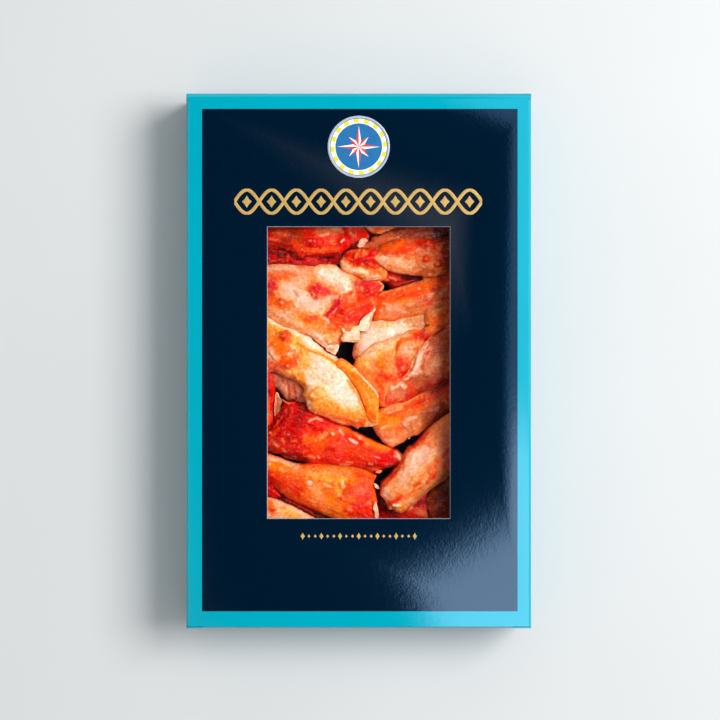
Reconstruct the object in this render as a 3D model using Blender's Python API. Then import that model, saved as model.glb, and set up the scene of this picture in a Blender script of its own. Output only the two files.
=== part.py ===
"""A shut retail carton of king crab leg meat, with a film window in its front panel.

The carton lies on its back panel with the front panel up. +X runs across it, +Y along it towards
the top closure, and +Z out of the front panel. The origin is under the middle of the back panel.
It is a reverse tuck carton: the top closure hangs from the front panel, the bottom one from the
back panel. Everything is in metres; MM turns millimetres into them.
"""

import math

import bmesh
import bpy

MM = 0.001

# Carton
WIDTH = 164 * MM
LENGTH = 254 * MM
DEPTH = 32 * MM
BOARD = 0.5 * MM
SHOULDER_RISE = 0.2 * MM            # how far the lock shoulders stand above the front panel
PANEL_TOP = DEPTH - SHOULDER_RISE   # outer face of the front panel
FOLD_RADIUS = 1.8 * MM              # outer radius of the long folds
FOLD_STEPS = 5
CREASE_END = 3 * MM                 # where a long fold stops short of a hinged closure
RAW_EDGE_INSET = 0.75 * MM          # how far a panel's raw edge lies inside the closure's face
PANEL_OVERSAIL = 0.1 * MM           # how much narrower a closure is than the carton, each side
TUCK_GAP = 0.3 * MM
TUCK_RADIUS = 1.0 * MM
TUCK_LENGTH = 17 * MM
TUCK_CORNER = 9 * MM
SHOULDER_WIDTH = 8.5 * MM
SLIT = 0.3 * MM
DUST_LENGTH = 36 * MM
DUST_RADIUS = 0.75 * MM
DUST_RELIEF = 0.6 * MM
NOTCH = 0.3 * MM

# Window and its film
WINDOW_WIDTH = 87 * MM
WINDOW_LENGTH = 138.8 * MM
WINDOW_Y = -5.7 * MM
CUT_BEVEL = 0.42 * MM               # slope of the cut board edge round the window
FILM_LAP = 8 * MM
FILM_THICKNESS = 0.2 * MM
GAP = 0.3 * MM                      # between touching pieces

# Tray
TRAY_WALL = 0.6 * MM
TRAY_FLOOR = (142 * MM, 198 * MM)
TRAY_RIM = (150 * MM, 206 * MM)
TRAY_FLANGE = (156 * MM, 212 * MM)
TRAY_HEIGHT = 22 * MM
TRAY_CORNER = 14 * MM
TRAY_CORNER_STEPS = 4

# Crab meat
MEAT_CLEARANCE = 0.45 * MM          # between a piece and the one lying over it
RING_SPACING = 7 * MM
SECTION_POINTS = 12
SECTION_FULLNESS = 0.86             # below 1 the section is fuller than an ellipse
END_CAP_ANGLES = (35, 65)

# Each piece: name, height in the heap (a higher one lies over a lower one), colour, how far its two
# ends round out in half widths (a small number is a torn, blunt end), and rows of x, y, half width,
# top and underside in millimetres, along the piece from end to end.
CREAM = (0.93, 0.66, 0.42, 1)
ORANGE = (0.86, 0.24, 0.05, 1)
RED = (0.72, 0.05, 0.02, 1)
SALMON = (0.84, 0.36, 0.17, 1)
BROWN = (0.35, 0.10, 0.05, 1)

PIECES = (
    ("claw_cream_left", 9, CREAM, (0.6, 0.35), (
        (-60, 21, 8, 23, 8), (-46, 10, 11.5, 25.5, 5), (-32, 1, 12.5, 27, 4),
        (-20, -8.5, 14.5, 28, 4), (-3, -20, 12.3, 27.5, 6), (5, -25.5, 9, 26, 9))),
    ("flap_of_claw", 10, ORANGE, (0.6, 0.5), (
        (-8, 1.5, 2, 27.6, 25), (-1.5, -7.5, 4.2, 28.6, 24.5), (3.5, -16, 5.4, 29, 24),
        (6, -25, 3.4, 27.6, 23))),
    ("leg_cream_bottom_right", 8, CREAM, (0.35, 0.6), (
        (16, -67, 6.5, 23, 6), (22.5, -59.5, 9.5, 26, 4), (32, -50, 11.5, 26.5, 3),
        (43.5, -42, 12.5, 25, 3), (58, -33, 9, 22, 5))),
    ("claw_top_right", 8, ORANGE, (0.6, 0.6), (
        (8, 50, 3.8, 24, 14), (18, 49.9, 7.6, 26, 7), (31, 49.4, 9.5, 26.5, 4),
        (43, 50.4, 8, 24, 4), (60, 52, 6, 21, 6))),
    ("knuckle_top_right", 7, CREAM, (0.45, 0.6), (
        (-5.5, 46.2, 5.8, 24.5, 10), (1, 46.3, 8, 26, 8), (8, 44, 7.4, 25, 7),
        (16, 40.5, 5.4, 21, 7))),
    ("leg_top_left", 7, RED, (0.6, 0.3), (
        (-60, 60, 7, 21, 5), (-43, 59, 9, 24, 3), (-20, 58, 9.4, 25, 3),
        (-9, 57, 7.2, 24, 5), (-3.5, 57.6, 4, 22, 9))),
    ("merus_left", 6, CREAM, (0.6, 0.3), (
        (-60, 38, 9, 21, 3), (-44, 34, 12.3, 24, 2), (-25, 28, 18, 26, 2),
        (-9, 24.5, 17.8, 25.5, 4), (2.5, 28, 11, 24, 9), (9, 33.5, 4, 23, 14))),
    ("leg_orange_right", 5, ORANGE, (0.3, 0.6), (
        (9, 26, 7, 21, 4), (20, 26.6, 8.3, 23.5, 2), (31, 29.8, 8.9, 24.5, 2),
        (43, 33.8, 8.6, 23, 2), (60, 39, 6, 20, 4))),
    ("lobe_right", 5, CREAM, (0.5, 0.6), (
        (1, 4.5, 5, 21, 6), (7, 9.5, 7.4, 22.5, 3), (18, 13, 6.8, 23, 2), (30, 16.5, 5.6, 22, 3),
        (44, 23, 5, 20, 5))),
    ("body_right", 7, ORANGE, (0.4, 0.6), (
        (10, -17, 5, 22, 5), (10.5, -9, 9.8, 25, 3), (13.5, -1.5, 12.5, 26.5, 3),
        (22, 5.5, 10.8, 26.5, 3), (32, 12.5, 8.2, 25, 4), (45, 20.5, 6, 22, 6),
        (58, 26, 5, 20, 8))),
    ("shoulder_right", 6, SALMON, (0.4, 0.6), (
        (16, -18, 4.5, 21, 6), (23, -13.5, 8.5, 24, 2), (32, -6.5, 12.5, 25, 2),
        (44, 1, 13.5, 23.5, 2), (60, 8, 9, 20, 4))),
    ("underside_of_claw", 4, SALMON, (0.6, 0.4), (
        (-52, -3, 6, 16, 3), (-39, -11, 8.5, 20, 2), (-29, -18, 7, 19, 3))),
    ("leg_red_left", 5, RED, (0.6, 0.5), (
        (-60, -33, 7, 20, 4), (-44, -36.5, 8.5, 23, 2), (-31, -35, 13.2, 25.5, 2),
        (-14, -40.5, 11.3, 25, 2), (2, -45.3, 8.8, 22.5, 2), (13.5, -48.3, 6, 20, 4),
        (18.5, -49, 3.5, 18.5, 7))),
    ("leg_salmon_right", 7, SALMON, (0.25, 0.6), (
        (9.5, -32.5, 8, 20, 4), (18, -30.8, 9.9, 22.5, 2), (29, -25.8, 9, 23.5, 2),
        (43, -18.6, 7.6, 22, 3), (58, -11.5, 5.5, 18, 5))),
    ("leg_orange_bottom_left", 6, ORANGE, (0.6, 0.15), (
        (-60, -47, 6.5, 20, 4), (-43, -52.5, 8.2, 23, 2), (-25, -59.3, 10.2, 25.5, 2),
        (-8, -64.5, 12, 25.5, 2), (6.5, -66, 11, 23.5, 3))),
    ("leg_bottom_left", 5, SALMON, (0.6, 0.6), (
        (-60, -66, 6, 19, 4), (-43, -74, 8.3, 22, 2), (-28, -80.5, 8, 21.5, 2),
        (-14, -87, 4.5, 18, 5))),
    ("leg_top_behind", 4, SALMON, (0.5, 0.6), (
        (3, 55, 2.5, 17, 5), (13, 58.5, 4.8, 20, 3), (27, 62.5, 6, 20, 2),
        (44, 66, 7.5, 18, 2), (60, 69, 5.5, 16, 4))),
    ("tip_top_centre", 6, ORANGE, (0.6, 0.6), (
        (12, 63.5, 3.2, 21.5, 12), (11, 69, 6, 23, 5), (7, 79, 7.5, 23, 2), (3, 88, 5, 20, 4))),
    ("strip_top", 5, RED, (0.5, 0.6), (
        (4, 59.8, 2.4, 19, 10), (-2, 62.5, 4.4, 21, 5), (-10, 70, 6, 22, 2), (-18, 80, 5, 20, 4))),
    ("underside_top_right", 3, RED, (0.5, 0.6), (
        (2, 38, 4, 13, 3), (14, 36.5, 6.5, 17, 2), (28, 39, 7.5, 17, 2), (43, 44, 6, 15, 4))),
    ("strip_left_edge", 4, RED, (0.6, 0.6), (
        (-42.5, -12, 4.2, 17, 4), (-41.5, -18, 4.8, 19, 2), (-42, -26, 5, 18, 2),
        (-49, -30, 5, 15, 4))),
    ("leg_brown_corner", 4, BROWN, (0.6, 0.6), (
        (30, -77, 6, 14, 2), (39, -70, 9, 17, 2), (50, -60, 10, 17, 2), (61, -52, 6, 15, 4))),
    ("strip_bottom", 3, RED, (0.6, 0.6), (
        (12.5, -58, 3.8, 11, 3), (12.5, -65, 4.2, 13, 2), (18, -74, 6.8, 16, 2),
        (30, -80, 6.5, 16, 3))),
)

# The pieces don't lie in simple layers everywhere: these lie over one that is higher elsewhere.
WEDGED_OVER = (
    ("leg_orange_right", "claw_top_right"),
    ("leg_orange_right", "knuckle_top_right"),
)


def clear_scene():
    for item in list(bpy.data.objects):
        bpy.data.objects.remove(item, do_unlink=True)


def make_material(name, color, roughness, metallic=0.0):
    material = bpy.data.materials.new(name)
    material.use_nodes = True
    material.diffuse_color = color
    shader = material.node_tree.nodes["Principled BSDF"]
    shader.inputs["Base Color"].default_value = color
    shader.inputs["Roughness"].default_value = roughness
    shader.inputs["Metallic"].default_value = metallic
    shader.inputs["Alpha"].default_value = color[3]
    return material


def make_object(name, shape, material):
    """Turns a bmesh into a named object with its faces pointing out."""
    bmesh.ops.recalc_face_normals(shape, faces=shape.faces)
    mesh = bpy.data.meshes.new(name)
    shape.to_mesh(mesh)
    shape.free()
    mesh.materials.append(material)
    item = bpy.data.objects.new(name, mesh)
    bpy.context.collection.objects.link(item)
    return item


def hide_as_cutter(item):
    item.hide_render = True
    item.display_type = "WIRE"


def cut(item, cutter):
    modifier = item.modifiers.new("Cut by " + cutter.name, "BOOLEAN")
    modifier.operation = "DIFFERENCE"
    modifier.object = cutter


def arc(centre, radius, start, end, steps):
    """Points on an arc between two angles in degrees, ends included."""
    angles = [math.radians(start + (end - start) * step / steps) for step in range(steps + 1)]
    return [(centre[0] + radius * math.cos(a), centre[1] + radius * math.sin(a)) for a in angles]


class Sheet:
    """A board surface without thickness, whose panels share the vertices where they meet."""

    def __init__(self):
        self.shape = bmesh.new()
        self.known = {}

    def vertex(self, point):
        key = tuple(round(value * 1e7) for value in point)
        if key not in self.known:
            self.known[key] = self.shape.verts.new(point)
        return self.known[key]

    def panel(self, points):
        self.shape.faces.new([self.vertex(point) for point in points])

    def strip(self, path, side_a, side_b):
        """Quads along a path, between the two edges that side_a and side_b make of its points."""
        for first, second in zip(path, path[1:]):
            self.panel([side_a(first), side_b(first), side_b(second), side_a(second)])


def add_end(sheet, place, shoulder_reach):
    """One closure with its tuck flap and lock shoulders, and the two dust flaps behind it.

    It is drawn at the +Y end, hinged from the front panel. place() moves its points.
    """
    half = WIDTH / 2 - PANEL_OVERSAIL
    tuck_half = WIDTH / 2 - SHOULDER_WIDTH
    middle = BOARD / 2
    end_y = LENGTH / 2 - middle
    fold_y = LENGTH / 2 - FOLD_RADIUS
    fold_z = PANEL_TOP - FOLD_RADIUS
    crease_y = LENGTH / 2 - CREASE_END
    flat_half = WIDTH / 2 - FOLD_RADIUS
    tuck_z = BOARD + TUCK_GAP + middle
    tuck_start = tuck_z + TUCK_RADIUS

    def across(width):
        return (lambda p: place((-width, p[0], p[1])), lambda p: place((width, p[0], p[1])))

    # The front panel runs on past the long folds at its full width, then folds down.
    top = PANEL_TOP - middle
    widening = crease_y + 0.4 * MM
    outline = [(-flat_half, crease_y), (-half, widening), (-half, fold_y),
               (half, fold_y), (half, widening), (flat_half, crease_y)]
    sheet.panel([place((x, y, top)) for x, y in outline])
    fold = arc((fold_y, fold_z), FOLD_RADIUS - middle, 90, 0, FOLD_STEPS)
    sheet.strip(fold, *across(half))

    # End panel, down to the tuck fold in the middle and to the lock shoulders at both sides.
    shoulder_z = -shoulder_reach
    slit_half = tuck_half + SLIT
    outline = [(-half, fold_z), (half, fold_z), (half, shoulder_z), (slit_half, shoulder_z),
               (tuck_half, tuck_start), (-tuck_half, tuck_start), (-slit_half, shoulder_z),
               (-half, shoulder_z)]
    sheet.panel([place((x, end_y, z)) for x, z in outline])
    tuck = arc((end_y - TUCK_RADIUS, tuck_start), TUCK_RADIUS, 0, -90, FOLD_STEPS)
    sheet.strip(tuck, *across(tuck_half))
    tuck_y = tuck[-1][0]
    outline = [(-tuck_half, tuck_y), (tuck_half, tuck_y),
               (tuck_half, tuck_y - TUCK_LENGTH + TUCK_CORNER),
               (tuck_half - TUCK_CORNER, tuck_y - TUCK_LENGTH),
               (-tuck_half + TUCK_CORNER, tuck_y - TUCK_LENGTH),
               (-tuck_half, tuck_y - TUCK_LENGTH + TUCK_CORNER)]
    sheet.panel([place((x, y, tuck_z)) for x, y in outline])

    # Dust flaps, folded in from the side panels behind the end panel.
    low, high = dust_span()
    dust_y = dust_crease()
    dust_x = WIDTH / 2 - middle - DUST_RADIUS
    path = arc((dust_x, dust_y), DUST_RADIUS, 0, 90, FOLD_STEPS)
    path.append((dust_x - DUST_LENGTH, dust_y + DUST_RADIUS))
    for side in (-1, 1):
        sheet.strip(path, lambda p: place((side * p[0], p[1], low)),
                    lambda p: place((side * p[0], p[1], high)))


def dust_crease():
    """Where a side panel starts to turn into its dust flap."""
    return LENGTH / 2 - BOARD - GAP - BOARD / 2 - DUST_RADIUS


def dust_span():
    """Lowest and highest edge of the dust flaps."""
    return FOLD_RADIUS + DUST_RELIEF, PANEL_TOP - FOLD_RADIUS - DUST_RELIEF


def as_drawn(point):
    return point


def turned_over(point):
    """Half a turn about the X axis through the carton's middle: the other end of the sheet."""
    return (point[0], -point[1], PANEL_TOP - point[2])


def add_sleeve(sheet):
    """Front, back and side panels with the four long folds between them."""
    middle = BOARD / 2
    flat_half = WIDTH / 2 - FOLD_RADIUS
    side_x = WIDTH / 2 - middle
    crease = LENGTH / 2 - CREASE_END
    raw = LENGTH / 2 - RAW_EDGE_INSET
    low_fold, high_fold = FOLD_RADIUS, PANEL_TOP - FOLD_RADIUS
    low_dust, high_dust = dust_span()
    dust_y = dust_crease()

    for place in (as_drawn, turned_over):
        top = PANEL_TOP - middle
        panel = [(-flat_half, -raw), (flat_half, -raw), (flat_half, crease), (-flat_half, crease)]
        sheet.panel([place((x, y, top)) for x, y in panel])
        fold = arc((flat_half, high_fold), FOLD_RADIUS - middle, 90, 0, FOLD_STEPS)
        for side in (-1, 1):
            sheet.strip(fold, lambda p: place((side * p[0], -raw, p[1])),
                        lambda p: place((side * p[0], crease, p[1])))

    side_outline = [(-crease, low_fold), (-crease, low_fold + NOTCH), (-dust_y, low_dust),
                    (-dust_y, high_dust), (-raw, high_fold - NOTCH), (-raw, high_fold),
                    (crease, high_fold), (crease, high_fold - NOTCH), (dust_y, high_dust),
                    (dust_y, low_dust), (raw, low_fold + NOTCH), (raw, low_fold)]
    for side in (-1, 1):
        sheet.panel([(side * side_x, y, z) for y, z in side_outline])


def make_window_cutter(material):
    """A block that widens upwards, so that the cut board edge slopes to the front face."""
    below = PANEL_TOP - 3 * BOARD
    above = PANEL_TOP + 3 * BOARD
    slope = CUT_BEVEL / BOARD
    shape = bmesh.new()
    rings = []
    for z in (below, PANEL_TOP - BOARD, above):
        grown = max(0.0, z - (PANEL_TOP - BOARD)) * slope - CUT_BEVEL / 2
        half_x = WINDOW_WIDTH / 2 + grown
        half_y = WINDOW_LENGTH / 2 + grown
        corners = [(-half_x, -half_y), (half_x, -half_y), (half_x, half_y), (-half_x, half_y)]
        rings.append([shape.verts.new((x, y + WINDOW_Y, z)) for x, y in corners])
    join_rings(shape, rings)
    cutter = make_object("window_cutter", shape, material)
    hide_as_cutter(cutter)
    return cutter


def join_rings(shape, rings):
    """Skins a stack of equal rings and closes both ends with a flat face."""
    count = len(rings[0])
    for lower, upper in zip(rings, rings[1:]):
        for index in range(count):
            after = (index + 1) % count
            shape.faces.new((lower[index], lower[after], upper[after], upper[index]))
    shape.faces.new(rings[0])
    shape.faces.new(rings[-1])


def make_carton(board_material):
    sheet = Sheet()
    add_sleeve(sheet)
    add_end(sheet, as_drawn, 0.0)
    add_end(sheet, turned_over, SHOULDER_RISE)
    carton = make_object("carton", sheet.shape, board_material)
    thicken = carton.modifiers.new("Board", "SOLIDIFY")
    thicken.thickness = BOARD
    thicken.offset = 0
    thicken.use_even_offset = True
    cut(carton, make_window_cutter(board_material))


def make_film(material):
    half_x = WINDOW_WIDTH / 2 + FILM_LAP
    half_y = WINDOW_LENGTH / 2 + FILM_LAP
    top = PANEL_TOP - BOARD - GAP
    shape = bmesh.new()
    rings = []
    for z in (top - FILM_THICKNESS, top):
        corners = [(-half_x, -half_y), (half_x, -half_y), (half_x, half_y), (-half_x, half_y)]
        rings.append([shape.verts.new((x, y + WINDOW_Y, z)) for x, y in corners])
    join_rings(shape, rings)
    make_object("window_film", shape, material)


def rounded_rectangle(size, radius, steps):
    half_x, half_y = size[0] / 2 - radius, size[1] / 2 - radius
    corners = ((half_x, half_y, 0), (-half_x, half_y, 90), (-half_x, -half_y, 180),
               (half_x, -half_y, 270))
    points = []
    for x, y, start in corners:
        points += arc((x, y), radius, start, start + 90, steps)
    return points


def make_tray(material):
    """A shallow tray of thin black sheet, with sloping walls and a flat flange."""
    middle = TRAY_WALL / 2
    floor_z = BOARD + GAP + middle
    rim_z = floor_z + TRAY_HEIGHT
    levels = ((TRAY_FLOOR, floor_z), (TRAY_RIM, rim_z), (TRAY_FLANGE, rim_z))
    shape = bmesh.new()
    rings = []
    for size, z in levels:
        outline = rounded_rectangle(size, TRAY_CORNER, TRAY_CORNER_STEPS)
        rings.append([shape.verts.new((x, y, z)) for x, y in outline])
    count = len(rings[0])
    for lower, upper in zip(rings, rings[1:]):
        for index in range(count):
            after = (index + 1) % count
            shape.faces.new((lower[index], lower[after], upper[after], upper[index]))
    shape.faces.new(rings[0])
    tray = make_object("tray", shape, material)
    thicken = tray.modifiers.new("Sheet", "SOLIDIFY")
    thicken.thickness = TRAY_WALL
    thicken.offset = 0
    thicken.use_even_offset = True


def smooth_row(rows, position):
    """A Catmull-Rom reading of the rows at a position counted in rows."""
    span = min(int(position), len(rows) - 2)
    t = position - span
    before, start = rows[max(span - 1, 0)], rows[span]
    end, after = rows[span + 1], rows[min(span + 2, len(rows) - 1)]
    return [0.5 * (2 * b + (c - a) * t + (2 * a - 5 * b + 4 * c - d) * t * t
                   + (3 * b - a - 3 * c + d) * t ** 3)
            for a, b, c, d in zip(before, start, end, after)]


def spread_rings(rows):
    """Rows read at an even spacing along the piece, as x, y, half width, top, underside."""
    readings = []
    for span, (start, end) in enumerate(zip(rows, rows[1:])):
        length = math.hypot(end[0] - start[0], end[1] - start[1])
        steps = max(1, round(length * MM / RING_SPACING))
        readings += [smooth_row(rows, span + step / steps) for step in range(steps)]
    readings.append(smooth_row(rows, len(rows) - 1))
    return readings


def section(centre, direction, half_width, half_height, height):
    """One ring of a piece: a full, level oval across its direction."""
    ring = []
    for index in range(SECTION_POINTS):
        angle = math.tau * index / SECTION_POINTS
        across = math.copysign(abs(math.cos(angle)) ** SECTION_FULLNESS, math.cos(angle))
        up = math.copysign(abs(math.sin(angle)) ** SECTION_FULLNESS, math.sin(angle))
        x = centre[0] + direction[1] * half_width * across
        y = centre[1] - direction[0] * half_width * across
        ring.append((x * MM, y * MM, (height + half_height * up) * MM))
    return ring


def unit(start, end):
    x, y = end[0] - start[0], end[1] - start[1]
    length = math.hypot(x, y)
    return (x / length, y / length)


def end_cap(row, roundness, outward, along, grow):
    """The shrinking rings that round off an end, and its last point."""
    half_width = row[2] + grow
    half_height = (row[3] - row[4]) / 2 + grow
    height = (row[3] + row[4]) / 2
    reach = roundness * row[2] + grow
    rings = []
    for degrees in END_CAP_ANGLES:
        out = reach * math.sin(math.radians(degrees))
        shrink = math.cos(math.radians(degrees))
        centre = (row[0] + outward[0] * out, row[1] + outward[1] * out)
        rings.append(section(centre, along, half_width * shrink, half_height * shrink, height))
    tip = ((row[0] + outward[0] * reach) * MM, (row[1] + outward[1] * reach) * MM, height * MM)
    return rings, tip


def make_meat(name, roundness, rows, material, grow):
    """A piece lofted along its rows. grow swells it all round, for its clearance."""
    readings = spread_rings(rows)
    last = len(readings) - 1
    body = []
    for index, row in enumerate(readings):
        along = unit(readings[max(index - 1, 0)], readings[min(index + 1, last)])
        half_height = (row[3] - row[4]) / 2 + grow
        body.append(section(row, along, row[2] + grow, half_height, (row[3] + row[4]) / 2))
    first_along = unit(readings[0], readings[1])
    last_along = unit(readings[last - 1], readings[last])
    backward = (-first_along[0], -first_along[1])
    start_rings, start_tip = end_cap(readings[0], roundness[0], backward, first_along, grow)
    end_rings, end_tip = end_cap(readings[last], roundness[1], last_along, last_along, grow)

    shape = bmesh.new()
    rings = [[shape.verts.new(point) for point in ring]
             for ring in start_rings[::-1] + body + end_rings]
    for lower, upper in zip(rings, rings[1:]):
        for index in range(SECTION_POINTS):
            after = (index + 1) % SECTION_POINTS
            shape.faces.new((lower[index], lower[after], upper[after], upper[index]))
    for ring, tip in ((rings[0], start_tip), (rings[-1], end_tip)):
        pole = shape.verts.new(tip)
        for index in range(SECTION_POINTS):
            shape.faces.new((ring[index], ring[(index + 1) % SECTION_POINTS], pole))
    item = make_object(name, shape, material)
    item.data.shade_smooth()
    return item


def spans(rows):
    """The box that a piece fills, in millimetres, with room for its rounded ends."""
    low = [min(row[axis] - row[2] for row in rows) for axis in (0, 1)]
    high = [max(row[axis] + row[2] for row in rows) for axis in (0, 1)]
    return low + [min(row[4] for row in rows)], high + [max(row[3] for row in rows)]


def boxes_meet(rows_a, rows_b):
    low_a, high_a = spans(rows_a)
    low_b, high_b = spans(rows_b)
    return all(low_a[i] < high_b[i] and low_b[i] < high_a[i] for i in range(3))


def lies_over(upper, lower):
    if (upper[0], lower[0]) in WEDGED_OVER:
        return True
    if (lower[0], upper[0]) in WEDGED_OVER:
        return False
    order = [piece[0] for piece in PIECES]
    return (upper[1], -order.index(upper[0])) > (lower[1], -order.index(lower[0]))


def make_crab():
    solids = {}
    clearances = {}
    for name, _, color, roundness, rows in PIECES:
        material = make_material(name, color, 0.35)
        solids[name] = make_meat(name, roundness, rows, material, 0.0)
        clearance = make_meat(name + "_clearance", roundness, rows, material, MEAT_CLEARANCE / MM)
        hide_as_cutter(clearance)
        clearances[name] = clearance
    for lower in PIECES:
        for upper in PIECES:
            if upper is lower or not lies_over(upper, lower):
                continue
            if boxes_meet(upper[4], lower[4]):
                cut(solids[lower[0]], clearances[upper[0]])


clear_scene()
make_carton(make_material("printed_board", (0.0, 0.42, 0.54, 1), 0.35))
make_film(make_material("clear_film", (0.95, 0.97, 1.0, 0.15), 0.05))
make_tray(make_material("black_sheet", (0.01, 0.01, 0.012, 1), 0.4))
make_crab()
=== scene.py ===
# %% [markdown]
# # A windowed carton of king crab leg meat
#
# The object is a flat folding carton with a window cut in its front. Behind the window lie shelled
# crab legs and claws in a black tray, under a clear film. The plain solids of all of these come from
# the imported model. This lesson dresses them: it gives the card its print and its foil, and turns
# each plain lump of meat into wet, fibrous, torn crab meat.
#
# ## The frame
#
# The frame is the imported model. Everything below is placed by the frame's own boxes, so nothing has
# to be fitted by eye.

# %% Load the frame
import math

import bpy
import numpy as np
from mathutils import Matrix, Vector


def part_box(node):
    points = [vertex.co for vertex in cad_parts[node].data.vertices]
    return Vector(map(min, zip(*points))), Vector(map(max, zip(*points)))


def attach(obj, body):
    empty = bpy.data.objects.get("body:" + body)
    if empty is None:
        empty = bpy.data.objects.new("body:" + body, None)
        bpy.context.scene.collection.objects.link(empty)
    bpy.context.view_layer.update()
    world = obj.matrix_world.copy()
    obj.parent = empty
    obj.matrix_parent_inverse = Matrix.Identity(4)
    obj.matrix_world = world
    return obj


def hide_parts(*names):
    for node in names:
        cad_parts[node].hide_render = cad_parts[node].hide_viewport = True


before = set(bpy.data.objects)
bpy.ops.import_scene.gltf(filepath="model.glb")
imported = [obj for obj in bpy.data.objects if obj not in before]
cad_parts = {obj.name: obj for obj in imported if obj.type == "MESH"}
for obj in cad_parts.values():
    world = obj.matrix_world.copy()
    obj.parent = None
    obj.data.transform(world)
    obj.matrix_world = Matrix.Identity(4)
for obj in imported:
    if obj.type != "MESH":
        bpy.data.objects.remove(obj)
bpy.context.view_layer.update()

MM = 0.001
bpy.ops.object.select_all(action="DESELECT")
print("nodes in the frame:", sorted(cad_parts))

# %% [markdown]
# ## The camera
#
# The carton is seen from straight above, from far enough away that its sides hardly show. A long
# lens does this. The camera stands a little off the middle of the carton.

# %% Camera
CAMERA_PLACE = (0.0006, 0.0003, 0.981)
camera_data = bpy.data.cameras.new("overhead")
camera_data.lens = 100
camera_data.sensor_width = 36
camera = bpy.data.objects.new("overhead", camera_data)
camera.location = CAMERA_PLACE
bpy.context.scene.collection.objects.link(camera)
bpy.context.scene.camera = camera
bpy.context.scene.view_settings.view_transform = "Standard"

# %% [markdown]
# ## The light
#
# One large soft lamp stands at the upper right, so the carton throws a wide soft shadow to its left
# and the window's right and top edges shade the meat. A second lamp hangs nearly overhead on the
# lower right: its mirror image is the broad pale sheen on the varnish there, and a faint third one
# carries it up the right side. The large lamp is hidden from mirror images, because it would lay a
# white haze on wet meat. A very small lamp beside it makes the crisp glints instead. The world adds
# an even fill from all around, which keeps the shadows grey instead of black.

# %% Lamps
def lamp(name, place, size, power, aim=None, turn=0.0):
    """A rectangular area lamp. It faces the point that it is aimed at, or straight down."""
    data = bpy.data.lights.new(name, "AREA")
    data.shape = "RECTANGLE"
    data.size = size[0]
    data.size_y = size[1]
    data.energy = power
    light = bpy.data.objects.new(name, data)
    light.location = place
    if aim:
        light.rotation_euler = (Vector(aim) - Vector(place)).to_track_quat("-Z", "Y").to_euler()
    else:
        light.rotation_euler = (0, 0, math.radians(turn))
    bpy.context.scene.collection.objects.link(light)
    return light


key = lamp("key", (1.12, 0.36, 1.30), (1.05, 0.90), 40.0, aim=(0, 0, 0.02))
key.visible_glossy = False
spark = lamp("spark", (0.95, 0.60, 1.10), (0.14, 0.14), 16.0, aim=(0, 0, 0.02))
sheen = lamp("sheen", (0.39, -0.46, 1.18), (0.50, 0.74), 5.7, turn=-8)
sheen.data.color = (0.50, 0.72, 1.0)
far_sheen = lamp("far_sheen", (0.37, 0.10, 1.19), (0.46, 1.10), 3.6)
far_sheen.data.color = (0.22, 0.55, 1.0)
for mirrored in (spark, sheen, far_sheen):
    mirrored.visible_diffuse = False

# %% [markdown]
# ## A little language for materials
#
# A material is a chain of nodes. Written out one by one they hide the idea, so a small class holds a
# node's output and lets ordinary arithmetic add the Math nodes. Any other kind of node comes from
# the one method `add`, which first sets the node's options and then fills its inputs.

# %% Wires
class Wire:
    """One output in a material's node tree. Sums and products of wires add Math nodes."""

    def __init__(self, tree, socket=None):
        self.tree = tree
        self.socket = socket

    def fill(self, target, value):
        if isinstance(value, Wire):
            self.tree.links.new(value.socket, target)
        else:
            target.default_value = value

    def add(self, kind, settings=None, inputs=None, output=0):
        node = self.tree.nodes.new(kind)
        for name, value in (settings or {}).items():
            if name == "stops":
                ramp = node.color_ramp
                while len(ramp.elements) < len(value):
                    ramp.elements.new(0.5)
                for stop, (place, colour) in zip(ramp.elements, value):
                    stop.position = place
                    stop.color = colour
            else:
                setattr(node, name, value)
        for key, value in (inputs or {}).items():
            self.fill(node.inputs[key], value)
        return Wire(self.tree, node.outputs[output] if node.outputs else None)

    def math(self, operation, *values, clamp=False):
        settings = {"operation": operation, "use_clamp": clamp}
        return self.add("ShaderNodeMath", settings, dict(enumerate(values)))

    def __add__(self, other):
        return self.math("ADD", self, other)

    def __radd__(self, other):
        return self.math("ADD", other, self)

    def __sub__(self, other):
        return self.math("SUBTRACT", self, other)

    def __rsub__(self, other):
        return self.math("SUBTRACT", other, self)

    def __mul__(self, other):
        return self.math("MULTIPLY", self, other)

    def __rmul__(self, other):
        return self.math("MULTIPLY", other, self)

    def __truediv__(self, other):
        return self.math("DIVIDE", self, other)

    def clamped(self):
        return self.math("ADD", self, 0.0, clamp=True)

    def above(self, limit, soft):
        """1 where the value is above a limit and 0 below it, over a soft edge."""
        return ((self - limit) / soft + 0.5).clamped()

    def inside(self, low, high, soft):
        return self.above(low, soft) * (1 - self.above(high, soft))

    def parts(self):
        split = self.tree.nodes.new("ShaderNodeSeparateXYZ")
        self.tree.links.new(self.socket, split.inputs[0])
        return [Wire(self.tree, output) for output in split.outputs]

    def stretched(self, x, y, z):
        settings = {"operation": "MULTIPLY"}
        return self.add("ShaderNodeVectorMath", settings, {0: self, 1: (x, y, z)})

    def noise(self, scale, detail=2.0, roughness=0.5, distortion=0.0):
        inputs = {"Vector": self, "Scale": scale, "Detail": detail, "Roughness": roughness,
                  "Distortion": distortion}
        return self.add("ShaderNodeTexNoise", None, inputs)

    def blend(self, first, second, mode="MIX"):
        """Mixes two colours, with this wire as the share of the second."""
        settings = {"data_type": "RGBA", "blend_type": mode}
        return self.add("ShaderNodeMix", settings, {0: self, 6: first, 7: second}, output=2)


# %% [markdown]
# Colours are easiest to think of as the numbers on a paint card, from 0 to 255. The renderer counts
# light itself, so `tone` turns card numbers into amounts of light. `finish` starts a material and
# closes it with a Principled shader: what is the same all over goes straight on the shader's own
# sockets, and only what varies comes from wires.

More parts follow.
